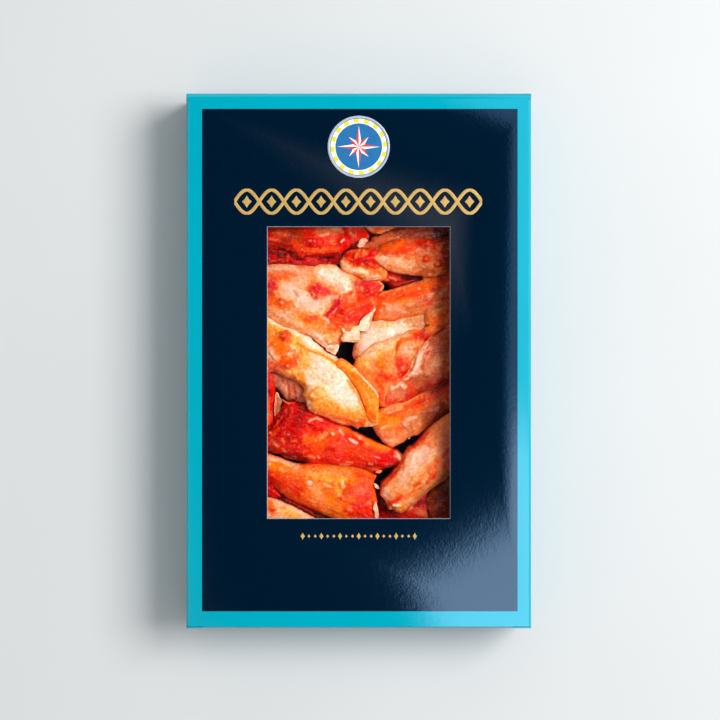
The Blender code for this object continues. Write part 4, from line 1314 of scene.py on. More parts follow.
dress("body_right", "orange_meat", (
    -3, -4.4, -1.7, -0.6, -1, 1.1, 1, 3, 4.5, 5.8, 6.5, 7.6, 9, 8.9, 14, 10.6, 18, 11.8, 21, 13.3, 24, 14.7,
    27, 15.3, 30, 15.2, 31.2, 17.4, 31, 21, 31.2, 24, 33, 25.9, 36, 25.6, 44, 27, 58, 31, 58, 17, 44, 16.4,
    40, 15, 37, 13, 34.6, 11.6, 33.2, 9.4, 31.5, 8, 29.5, 6.4, 28.4, 4.2, 26.8, 1.6, 25.2, -1, 24.6, -3.5,
    23, -6.6, 21, -9, 18, -10.9, 15.2, -13, 13.4, -16.5, 12.6, -19, 12.7, -22, 9.6, -22, 8.6, -20,
    8, -18, 6.6, -15.6, 3, -11.8, -1, -7.4),
    (2, -1, 25, 14, -2, 26.3, 22, 6, 26.3, 32, 12, 25.3, 45, 22, 23, 11, -16, 24.5), "peach", "flame", [
    ("cream", 0.6, 3.6, 8, 4, 20, 10),
    ("orange", 0.5, 2.6, 1, -2.4, 6, -7, 9, -10),
    ("butter", 0.9, 3.4, 1, 0, 8, 5, 12, 7),
    ("cream", 0.9, 3.2, 6, 3, 14, 8, 22, 12),
    ("ivory", 0.7, 2.4, 3, 2.4, 9, 5, 17, 9.6),
    ("butter", 0.7, 1.6, -1, -1, 4, -1.6),
    ("peach", 0.5, 3.0, 14, 2, 16, -4),
    ("butter", 0.5, 1.8, 10, 3, 14, -2),
    ("cream", 0.5, 1.4, 4, -2, 8, -4),
    ("cream", 0.8, 1.6, 13, 9, 24, 13),
    ("orange", 0.85, 1.3, 25, 13.6, 29, 13.8),
    ("petal", 0.85, 2.4, 22.4, 4.6, 24.4, 5.8),
    ("blush", 0.7, 1.8, 20.6, 1.8, 24.6, 1.6),
    ("blush", 0.7, 1.7, 15.6, -3, 16.2, -6.4),
    ("amber", 0.95, 0.9, 18, 5.2, 18.4, 8, 20.6, 9.6),
    ("orange", 0.95, 0.8, 18.4, 6, 19.2, 8.6, 22, 10.2, 27, 11),
    ("flame", 0.9, 0.9, 17.6, 1.6, 18.4, -1.8, 18.6, -4),
    ("vermilion", 0.95, 2.5, 20.6, -1.6, 22, -5.6, 20.6, -7),
    ("red", 0.85, 1.2, 23.4, -1.6, 23.2, -4.6, 21.6, -6.4),
    ("flame", 0.95, 2.0, 10.6, -6.4, 13.4, -8.4, 16.6, -8.6),
    ("vermilion", 0.85, 1.0, 11.4, -7, 13.4, -8.4),
    ("flame", 0.9, 1.5, 8.4, -10.4, 10.6, -13.6, 11.2, -18),
    ("peach", 0.6, 0.9, 6.4, -10, 9.6, -14),
    ("vermilion", 0.97, 2.0, 27.8, 11, 32.4, 11.4),
    ("red", 0.9, 1.2, 31.4, 12.6, 32.6, 10.4),
    ("orange", 0.8, 0.9, 33, 14.4, 36, 17),
    ("tan", 0.8, 1.6, 32.6, 21.6, 34, 24),
    ("tan", 0.6, 2.6, 37, 21, 44, 24),
    ("flame", 0.7, 1.4, 36, 18, 40, 22),
    ("flame", 0.6, 1.0, 40, 20, 44, 25),
    ("petal", 0.5, 0.8, 36, 23.6, 39, 24.6),
    ("vermilion", 0.7, 1.0, 38, 16, 45, 18.4),
    ("orange", 0.6, 1.4, 33.6, 20.4, 36.4, 18.6),
    # Painted shade: the dark stroke lies in the notch.
    ("umber", 0.9, 0.6, 31.9, 16.6, 33.2, 17),
    ("rose", 0.8, 0.9, 11, -18.6, 11.8, -20.4),
    # Painted highlight: a white glint on the red spot.
    ("white", 0.9, 0.45, 32, 12.8),
    ("petal", 0.7, 0.5, 27.4, 7.4),
    ("flame", 0.8, 0.6, 26.4, 5.4, 28, 6),
    ("peach", 0.95, 0.9, 21.3, -4)],
    knobs=[(31.8, 12.4, 1.7, 1.0, "red", "rose"), (11.2, -1.8, 2.6, 0.9, "orange", "amber"),
           (21.4, -4, 1.9, 0.8, "vermilion", "peach")],
    ridges=[(-0.5, 0.6, 17.6, 3.4, 18.6, 8.4, 22.4, 10, 27, 11), (0.6, 0.5, 33, 9.4, 28.6, 4.6, 25, -1.4),
            (0.6, 1.0, 9.6, -5.6, 12.6, -5.6), (-0.6, 0.6, 31.4, 16.4, 33.6, 17.2)],
    skins=[(0.6, 2.0, 20.4, 10.6, 18.8, 8.4, 18.2, 5)], drop=3, shoulder=5.5, rag=0.3, lumps=0.35)
dress("shoulder_right", "salmon_meat", (
    34, 13, 37, 15, 40.5, 17.6, 44, 19.4, 58, 24, 58, -6, 44, -9.5, 41, -11, 37, -13.2, 33, -14.8, 29, -16.5,
    25, -19, 21, -20.5, 16.5, -21.2, 13, -22.6, 11, -22, 9.6, -18, 9.6, -13, 12, -8, 16, -3, 20, 2, 23, 7,
    27, 11),
    (16, -15, 23.2, 24, -8, 23.6, 36, -2, 25.3, 45, 6, 24), "blush", "red", [
    # Painted shade: broad brown over the right part, where the window's right edge shades the meat.
    ("brown", 0.45, 6.0, 42, 10, 38, -4, 41, -9),
    ("brown", 0.45, 3.4, 18, -18, 24, -12, 34, -9),
    ("rose", 0.5, 2.0, 14, -17, 20, -14),
    ("mauve", 0.5, 4.0, 37, 6, 35, -6),
    ("petal", 0.5, 1.4, 34, -1, 38, 2),
    ("tan", 0.7, 3.4, 31, -2, 29, -10),
    ("rose", 0.5, 1.6, 22, -15, 28, -12, 34, -9),
    ("rose", 0.4, 3.0, 33, 2, 36, 9),
    ("petal", 0.6, 2.4, 31, -1, 34, 6),
    ("petal", 0.5, 1.8, 33, -5, 38, -1),
    ("tan", 0.4, 1.6, 25, -9, 32, -7),
    ("mauve", 0.6, 2.5, 35, 9, 38, 4),
    ("brown", 0.4, 2.6, 26, -9, 33, -9),
    # The crimson along the lower edge is partly the skin's own colour and partly painted shade under the shoulder's
    # edge.
    ("crimson", 0.95, 1.9, 24.6, -17.4, 30, -14.6, 36, -12, 43, -8.6),
    ("vermilion", 0.8, 1.3, 14, -20.4, 20, -19.8, 26, -17),
    ("flame", 0.7, 1.3, 24, -11.4, 26.6, -14.6),
    ("petal", 0.4, 2.0, 14.6, -15.4, 20, -16),
    ("rose", 0.5, 1.0, 13, -19, 14.4, -16, 13, -13),
    ("crimson", 0.7, 1.0, 36, 13, 41, 15.6),
    ("petal", 0.95, 2.0, 26.6, -3, 28, -0.6, 29.6, 3.4),
    ("petal", 0.9, 1.3, 25, -6.6, 29, -4.8),
    ("white", 0.9, 0.9, 16, -13, 18.6, -12.2),
    ("white", 0.9, 1.1, 20, -11, 22.4, -12.4),
    ("tan", 0.7, 0.6, 17, -11.6, 19.8, -10),
    ("vermilion", 0.9, 0.8, 33.2, 4, 32.8, 3.4),
    ("rose", 0.7, 0.5, 31.4, 1, 30.6, -4),
    ("rose", 0.6, 0.5, 34.2, 7.6, 36.6, 8.2),
    ("flame", 0.5, 0.6, 35.6, -7.4, 36.8, -8)],
    ridges=[(0.9, 1.4, 16, -12.6, 22.6, -12), (0.5, 0.6, 26.4, -4, 28.6, 0.4)],
    drop=4, shoulder=8, rag=0.3)

# %% The claw, its flap, and the meat under it
dress("underside_of_claw", "salmon_meat", (
    -52, -4, -44, -5, -38, -5, -30, -8, -25, -12, -24, -17, -23.6, -22.8, -26.4, -20.8, -29, -20.4, -31, -19.7,
    -34, -19.6, -36.2, -18.2, -38, -15.4, -39.6, -13.4, -44, -12, -52, -10),
    (-36, -12, 22.5, -27, -17, 22), "mauve", "brown", [
    ("petal", 0.5, 1.3, -36.6, -11, -35, -16),
    ("rose", 0.35, 1.6, -33, -13, -32, -18),
    ("tan", 0.6, 1.6, -29, -11.6, -26.4, -17, -24.6, -21),
    ("brown", 0.6, 0.7, -31.4, -12, -30, -18.6),
    ("brown", 0.7, 1.0, -37.8, -8, -36, -9.4),
    # Painted shade: the dark line along the lower edge, in the crevice against the meat below.
    ("umber", 0.9, 0.9, -39.6, -13.4, -37.4, -17, -34.6, -19.4, -31, -19.4)],
    ridges=[(-0.5, 0.5, -34.4, -9.4, -33.8, -18), (-0.4, 0.5, -31.6, -10.4, -30.4, -18.6)], drop=3, shoulder=4)
dress("claw_cream_left", "cream_meat", (
    -58, 29, -47, 23.4, -43, 20.8, -38, 18.3, -33, 16, -29, 14.3, -26.5, 13, -23.8, 12.9, -22.5, 12.2,
    -21.5, 10, -18.5, 7.2, -16.2, 4.9, -13, 3.3, -11, 2, -10, 0.6, -8.3, 0.8, -6, -0.4, -3, -4, 2, -10,
    6, -16, 8.6, -22, 9.5, -28, 9.3, -30.6, 6.5, -31.6, 3, -32, 0.5, -31.8, -0.6, -32.8, -2, -31.8,
    -4, -31.1, -9, -30.5, -12, -29.2, -15, -27.5, -19, -26, -20.5, -25.8, -22, -25.1, -24.3, -23.4,
    -25.6, -19, -26.8, -16, -25.9, -13.6, -28, -11.6, -31, -9.6, -35, -8, -38, -6.4, -41, -5.4, -46, -6, -58, -4),
    (-45, 8, 25.5, -32, 2, 27, -14, -8, 28.3, 2, -24, 27.5), "ivory", "orange", [
    ("butter", 0.85, 3.4, -44, 17, -38, 14, -31, 10),
    ("amber", 0.9, 4.0, -43, 12, -38, 8, -36, 2),
    ("orange", 0.85, 3.8, -40, 7, -34.4, 5, -33, 1),
    ("orange", 0.9, 2.8, -37, 12, -33.6, 9.6),
    ("butter", 0.8, 2.2, -30, 9, -27, 5, -24, -2),
    ("flame", 0.9, 2.4, -44, -1, -39, -2, -31, -1.4),
    ("vermilion", 0.8, 1.3, -43, -4, -38, -4.6),
    ("orange", 0.9, 1.5, -37, -5.4, -31, -8, -26.4, -12.4),
    ("butter", 0.8, 1.7, -31, -4.6, -27, -8.4),
    ("amber", 0.7, 1.2, -28.6, -4, -26, -12),
    ("amber", 0.85, 2.6, -24.6, -15.4, -21, -17),
    ("orange", 0.7, 0.7, -25.4, -18, -21, -19.4, -17.4, -18),
    ("amber", 0.6, 1.2, -27.6, 4.6, -28, 1, -26.4, -3),
    ("butter", 0.6, 2.0, -18, -13, -14, -20),
    ("butter", 0.8, 2.2, -20, -19.8, -10, -22.4, 0, -25),
    ("amber", 0.85, 2.0, -20, -22, -10, -24.4, 0, -27.4, 5, -28),
    ("orange", 0.9, 1.3, -20, -24, -12, -26.6, -4, -29, 4, -30.6),
    ("flame", 0.7, 0.9, -12, -27.6, -4, -29.4, 2, -30.6),
    ("amber", 0.9, 1.8, 4, -24, 6.6, -27),
    ("flame", 0.85, 1.2, 5.6, -26.4, 8.4, -28),
    ("vermilion", 0.6, 0.7, 1.2, -27.8, 2.8, -28.6),
    ("butter", 0.5, 0.5, -22, -5, -12, -14),
    ("white", 0.85, 1.0, -44, 20.2, -36, 16.4, -29, 13, -24, 11.4),
    ("white", 0.85, 1.7, -25, 10, -19.6, 6.4),
    ("white", 0.8, 0.9, -15.6, 3.6, -12, 1.6),
    ("white", 0.92, 4.2, -18, -2, -12, -10, -5, -19),
    ("amber", 0.75, 1.0, -4.6, -10, 0, -17, 3, -24),
    ("butter", 0.8, 1.1, -30, 8.8, -25, 5.2, -18, 3, -11.4, -1),
    ("amber", 0.95, 0.5, -29, 8.6, -25, 5.4, -21, 4, -18, 3.2, -15, 1.4, -11.4, -0.8),
    ("flame", 0.9, 0.35, -31, 5.4, -29.4, 3, -28.4, 0.4),
    ("petal", 0.9, 0.7, -42.4, 6, -41.2, 3.4, -39.8, 1.2),
    ("petal", 0.8, 0.9, -33.4, 3.2, -32.6, 2.8),
    ("tan", 0.6, 1.2, -23, -21.6, -21, -23.6),
    ("petal", 0.6, 0.5, -23.6, -23.2, -22, -24.6),
    ("orange", 0.95, 1.0, -20, -26, -14, -29, -9, -30.8, -3, -31.6, 2, -32.4),
    ("flame", 0.6, 0.5, -18, -27, -12, -29.8, -4, -31.6),
    ("white", 0.8, 0.5, -20.6, -25),
    ("white", 0.95, 0.7, -22, -16.8, -20.8, -17.4),
    ("cream", 0.9, 0.5, -26.2, -16.4),
    ("butter", 0.95, 0.8, -28.6, -8.4),
    # Painted highlight: a white glint.
    ("white", 0.9, 0.45, 4.2, -25.4),
    ("white", 0.9, 0.4, -1, -28.8),
    ("cream", 0.9, 0.8, 4, -30.4, 9, -30.6)],
    knobs=[(-35.3, 12, 2.0, 1.2, "red", "orange"), (-33.8, -2.5, 1.3, 1.0, "flame", "petal"),
           (-22, -16.6, 2.0, 0.6, "amber", "ivory")],
    ridges=[(0.6, 0.6, -29, 8.6, -25, 5.4, -18, 3.2, -11.4, -0.8), (-0.5, 0.5, -28, 7.6, -20.6, 3, -12, -1),
            (0.8, 1.4, -28.6, -8.4), (0.7, 0.5, -44, 20.6, -29, 14, -24, 12.4, -21.6, 9.4, -16, 4.6),
            (0.7, 1.2, -25.6, -16.4), (0.6, 1.2, -42, 4.6, -40, 1.6)],
    skins=[(-0.5, 3.0, -30.6, 6.6, -28.6, 1.4, -29, -2)], drop=3.6, shoulder=6.5, rag=0.2, lumps=0.3)
dress("flap_of_claw", "orange_meat", (
    -11.6, -1, -9.8, 0.5, -8, 0.7, -6, -0.3, -3, -2.5, 0, -5.5, 4, -9.6, 8, -14, 9.7, -17, 9.5, -22, 9.8, -29.6,
    6.5, -30, 3.6, -27, 2.4, -23, 0.8, -18.5, -1.6, -13.5, -4.6, -9.5, -8, -5.4, -10.8, -3.4),
    (-7, -2.4, 27.9, 1, -11, 28.3, 6, -22, 28.0), "amber", "orange", [
    ("orange", 0.6, 2.0, -8, -4, 0, -13, 4, -24),
    ("amber", 0.9, 2.4, -6, -4.4, 0, -10, 4, -16, 6.4, -25),
    ("flame", 0.85, 0.5, -9.4, -4, -4, -9.8, 0.6, -17, 3.4, -24),
    ("butter", 0.8, 1.6, 3, -13, 7.4, -20),
    ("amber", 0.7, 1.0, 1, -8.6, 5, -13),
    ("butter", 0.9, 1.0, -8, -0.8, -4.4, -2.8, -1.6, -5.6),
    ("peach", 0.6, 0.8, 2, -12.6, 6, -16.6),
    ("flame", 0.7, 1.0, 5.4, -25, 8.2, -27.6),
    ("butter", 0.7, 0.5, 8.6, -22, 8.8, -29),
    ("blush", 0.7, 0.4, 6.4, -19.4),
    ("white", 0.97, 0.45, -2, -4, 1, -7, 5, -11.2, 8, -14.5, 9.3, -17),
    ("cream", 0.9, 0.5, 5, -30, 9, -30.4)],
    ridges=[(0.6, 0.5, -6, -0.8, 0, -6, 5, -11.2, 9.2, -17)], drop=0.9, shoulder=1.8, rag=0.18, lumps=0.2)

# %% The red leg and the strip at the left edge
dress("leg_red_left", "red_meat", (
    -58, -26, -46, -31, -43, -30, -40, -26, -37, -22, -34, -20, -31, -19.7, -29.5, -20.3, -27, -20.4,
    -25.5, -20.6, -24, -20.4, -20, -21.6, -16, -23.6, -12.5, -25.8, -9, -28.6, -6, -31.4, -3, -33.5, 0, -35,
    3, -36.6, 6, -38, 9, -39.3, 12, -40.5, 14.5, -41.5, 16.5, -42.1, 18.5, -43.2, 20.5, -44.6, 21.8, -46,
    21.4, -47.6, 20.6, -49, 19.3, -50.4, 17.5, -51, 15.5, -51.4, 12, -52, 9, -53, 6.5, -53.9, 4.5, -53,
    1.5, -51.5, -1, -50.9, -4, -50.8, -8, -50.4, -13, -49.8, -18, -49.5, -22, -49.8, -25.5, -49, -29, -48,
    -34, -47.2, -37, -45.8, -38.5, -44.9, -41, -44.6, -43, -43.7, -58, -40),
    (-44, -37, 23, -30, -33, 25.6, -14, -40, 26.3, 4, -45, 25.3, 18, -47, 23, -14, -27, 22.8,
     -7, -33, 22.8), "vermilion", "red", [
    ("red", 0.97, 5.0, -37, -34, -29, -28, -22, -28),
    ("vermilion", 0.6, 1.2, -34, -30, -30, -26),
    ("crimson", 0.8, 2.8, -29, -24, -28.4, -30),
    ("wine", 0.9, 1.3, -28, -21.4, -25.4, -23.4),
    ("red", 0.9, 3.6, -33, -38, -27, -36),
    ("flame", 0.95, 4.4, -22, -38, -14, -38.6),
    ("red", 0.6, 1.2, -28, -40, -22, -42),
    ("orange", 0.6, 1.0, -20, -40.6, -14, -41),
    ("flame", 0.9, 3.2, -20, -43, -8, -42, 2, -46),
    ("vermilion", 0.8, 2.4, -10, -46, 2, -48),
    ("orange", 0.9, 2.2, -25, -38.6, -18, -39),
    ("peach", 0.95, 1.4, -18.2, -36.6, -16.2, -35),
    ("orange", 0.8, 1.2, -14, -33, -10, -35),
    ("red", 0.9, 1.6, -15, -42.6, -12.4, -42.4),
    ("red", 0.9, 0.9, -18, -47.2, -13.6, -47.2),
    ("red", 0.9, 2.2, -20.4, -31.6, -17, -31),
    ("vermilion", 0.8, 1.4, -20, -30.6),
    ("rose", 0.8, 0.7, -16.4, -31.4, -14.4, -33.4),
    ("rose", 0.8, 0.5, -24.8, -31.2, -22.6, -33.8),
    ("petal", 0.9, 0.45, -24, -29.2, -22.4, -28.2, -20, -27.4, -17.8, -28.4),
    ("pink", 0.8, 0.8, -13.6, -31, -10, -32.6),
    ("rose", 0.85, 0.9, -9.4, -35.4, -4.6, -38.6, 0, -41.2),
    ("orange", 0.95, 1.2, -8, -32.6, -2, -34.6),
    ("peach", 0.9, 0.9, -1.4, -35.4, 3, -37.6),
    ("amber", 0.9, 1.1, 4, -38.6, 9, -40.4, 14, -42.4),
    ("orange", 0.8, 0.8, 2, -40.6, 12, -43),
    ("rose", 0.6, 1.2, 2, -43, 8, -44.4),
    ("red", 0.9, 2.2, 9, -47.6, 17, -47.6),
    ("red", 0.9, 1.2, 13, -44.6, 16.4, -45),
    ("crimson", 0.8, 0.9, 4, -49.8, 14, -50.4, 19, -49.6),
    ("petal", 0.97, 1.3, 19, -44.9, 20.4, -46.6),
    ("petal", 0.9, 0.7, 18.2, -44, 20.4, -48),
    ("rose", 0.7, 0.6, 1, -51, 5, -52.6, 8, -52.8),
    # Painted shadow: dark wine at the lower right and along the lower left, where dark gaps lie beside the leg.
    ("wine", 0.9, 0.9, 11, -52.2, 17.6, -51),
    ("wine", 0.92, 1.7, -36, -46, -30, -47, -25, -48.4),
    ("crimson", 0.8, 1.4, -34, -43.6, -27, -45.4),
    ("brown", 0.85, 1.5, -43.4, -42.6, -40.4, -43.4),
    ("tan", 0.8, 0.6, -42, -38.2, -40.6, -39),
    ("petal", 0.7, 0.45, -40.4, -39.8, -38.6, -41.2),
    ("tan", 0.7, 0.5, -36.4, -42.4, -35, -43.6),
    ("peach", 0.7, 0.5, -36.6, -37.4, -35.6, -39.6),
    ("peach", 0.8, 0.5, -23.6, -45.6, -21, -46.4),
    ("flame", 0.8, 0.5, -26.4, -44, -24.4, -43),
    ("petal", 0.8, 0.4, -19.4, -46, -19, -46.6),
    # Painted highlight: a white glint.
    ("white", 0.9, 0.45, -12.8, -34.7, -12, -35.3),
    ("petal", 0.9, 0.45, -9, -33.4, -7.2, -35.4),
    ("white", 0.95, 0.6, -4.2, -37.4, -1, -39.2),
    ("petal", 0.85, 0.5, 0, -36.6, 1, -37.2),
    # Painted highlight: a pale glint.
    ("petal", 0.7, 0.4, 5, -49.4, 6.4, -49.6),
    ("rose", 0.8, 0.4, -13, -40.7),
    ("peach", 0.6, 0.4, -32, -38.6, -30, -38.2),
    ("peach", 0.6, 0.4, -26, -35.6, -24, -36),
    ("petal", 0.7, 0.35, 3, -39.4, 5, -40.2),
    ("petal", 0.6, 0.35, 8, -46, 10, -46.6),
    ("peach", 0.6, 0.4, -6, -48.6, -3, -48.8),
    ("petal", 0.7, 0.5, -9, -50, -5, -50.2),
    ("tan", 0.6, 0.5, 5, -51.6, 9, -52.4)],
    ridges=[(0.8, 1.0, -24, -29.2, -20.4, -27.6, -17.4, -28.6), (1.0, 1.6, -20, -31), (-0.5, 0.7, -25.4, -30, -23, -34),
            (0.6, 1.2, -17.4, -36), (-0.5, 0.6, -10.6, -35, -4, -39.4, 4, -43), (0.6, 0.7, -4, -37.4, -1, -39.2),
            (-0.5, 0.6, 0, -43, 14, -46.4), (0.5, 0.6, 18, -44.4, 20.4, -48)],
    skins=[(0.6, 2.2, 17.6, -43, 18.4, -46.4, 20.6, -49)], drop=4, shoulder=7, rag=0.45, lumps=0.45)
dress("strip_left_edge", "red_meat", (
    -48, -4, -42, -5, -38.4, -6.6, -37.2, -8, -37, -9.6, -38.6, -11, -40.2, -13.4, -40, -15.5, -40.6, -20,
    -41.2, -24, -40.7, -28, -40.4, -30.4, -43, -33, -50, -36, -56, -30, -54, -10),
    (-42, -9, 23, -43, -20, 22.5), "vermilion", "red", [
    ("rose", 0.8, 1.2, -43, -17, -43, -27),
    ("crimson", 0.5, 0.8, -41.6, -19, -42, -26),
    ("rose", 0.6, 1.6, -42, -8.4, -39.4, -9.4),
    ("orange", 0.6, 0.7, -43.4, -19, -43.4, -30),
    ("wine", 0.9, 0.8, -43, -14.6, -41.8, -16.6),
    ("red", 0.9, 0.8, -41.4, -14, -41, -18, -41.8, -23),
    ("rose", 0.6, 0.5, -42.8, -11, -41, -11.4),
    ("rose", 0.6, 0.5, -42, -24, -41.8, -27)], drop=3, shoulder=3.5, rag=0.4)

# %% The legs at the bottom
dress("leg_salmon_right", "salmon_meat", (
    8, -24.6, 11.5, -22.4, 14.5, -19.4, 17.5, -18, 21, -17, 24, -16, 27, -14.6, 31, -13, 36, -10.6,
    40, -8.8, 44, -7, 58, -5, 58, -17, 44, -24.5, 40, -27, 36, -29.6, 32, -33, 28.5, -35.6, 24, -37,
    21.5, -39.2, 18.5, -40.8, 16.5, -41.9, 14.5, -41.7, 12.3, -40, 10.5, -38.2, 8.8, -36, 7.5, -33.6,
    6.2, -31.4, 7, -28),
    (12, -30, 22.8, 24, -28, 22.8, 24, -19, 20.4, 40, -13, 20, 45, -20, 21.5), "peach", "flame", [
    ("blush", 0.7, 3.0, 11, -37, 18, -38, 26, -34),
    ("tan", 0.6, 1.6, 22, -36, 28, -32),
    ("petal", 0.7, 1.3, 12, -39, 18, -38.6),
    ("orange", 0.8, 2.4, 12, -27.6, 22, -26),
    ("amber", 0.97, 2.8, 10.6, -28.4, 17, -28.8),
    # Painted shade: brown towards the right, where the window's right edge shades the meat.
    ("brown", 0.6, 4.4, 29, -26, 38, -22),
    ("tan", 0.5, 2.4, 18, -36, 26, -31),
    ("orange", 0.7, 1.4, 15, -33, 21, -32.4),
    ("tan", 0.7, 2.6, 24, -31, 29, -27),
    ("tan", 0.6, 2.6, 30, -30, 36, -24),
    # Painted shade: brown and umber along the lower right.
    ("brown", 0.8, 2.6, 33, -28, 40, -24, 44, -21),
    ("umber", 0.6, 1.2, 30, -33, 36, -29, 43, -24.6),
    ("rose", 0.6, 1.6, 34, -22, 42, -18),
    ("vermilion", 0.85, 2.3, 33, -17.6, 44, -13.6),
    ("crimson", 0.7, 1.0, 34, -15.4, 44, -10.6),
    ("orange", 0.7, 1.0, 30, -22.4, 38, -19),
    ("flame", 0.85, 1.2, 22, -22, 28, -19.8, 34, -17),
    ("vermilion", 0.9, 0.9, 26, -22.4, 31, -20),
    ("orange", 0.7, 1.6, 24, -24.6, 30, -22.6),
    ("tan", 0.6, 0.7, 36, -21, 42, -16),
    ("peach", 0.9, 0.8, 12, -23.6, 20, -22.4),
    ("petal", 0.8, 0.4, 14, -25, 16, -24.8, 20, -23),
    ("flame", 0.9, 0.4, 16, -25.4, 20, -24.6, 23, -23.4),
    ("flame", 0.8, 0.6, 14.4, -26, 18, -26.6),
    ("petal", 0.95, 1.4, 22, -30.4, 23.4, -28.6),
    ("petal", 0.9, 0.8, 24, -28.4, 27.4, -27),
    ("cream", 0.95, 0.4, 10.2, -32.6, 13.6, -31.2),
    ("flame", 0.8, 0.4, 19.4, -31.6, 21.4, -32.8),
    ("petal", 0.7, 0.5, 11.4, -36.6, 12.6, -38)],
    ridges=[(0.6, 0.6, 14, -25, 21, -22.8), (-0.6, 0.5, 15, -25.8, 23, -23.4), (0.6, 1.0, 22, -30, 27.6, -27),
            (-0.5, 0.6, 20, -31, 23, -34), (0.5, 0.5, 10, -32.8, 14, -31.2), (-0.5, 0.6, 26, -23.4, 36, -18.6)],
    drop=3.6, shoulder=6.5, rag=0.25)
dress("strip_bottom", "red_meat", (
    9, -63.4, 11, -64, 14, -63, 22, -64, 29, -62, 34, -64, 34, -80, 9, -80),
    (12, -70, 17, 26, -71, 20.5), "red", "crimson", [
    ("rose", 0.7, 2.0, 22, -71, 32, -72),
    ("wine", 0.97, 3.2, 10, -66, 14, -72),
    ("crimson", 0.9, 1.6, 12, -75, 18, -74.6),
    ("crimson", 0.95, 2.0, 26, -68.4, 30, -68),
    ("red", 0.7, 1.2, 20, -74.6, 24, -74),
    ("petal", 0.7, 0.6, 24.6, -70.6, 25.4, -70.2),
    ("blush", 0.6, 1.2, 29, -72.6, 33, -74.4)], drop=3, shoulder=3, rag=0.3)
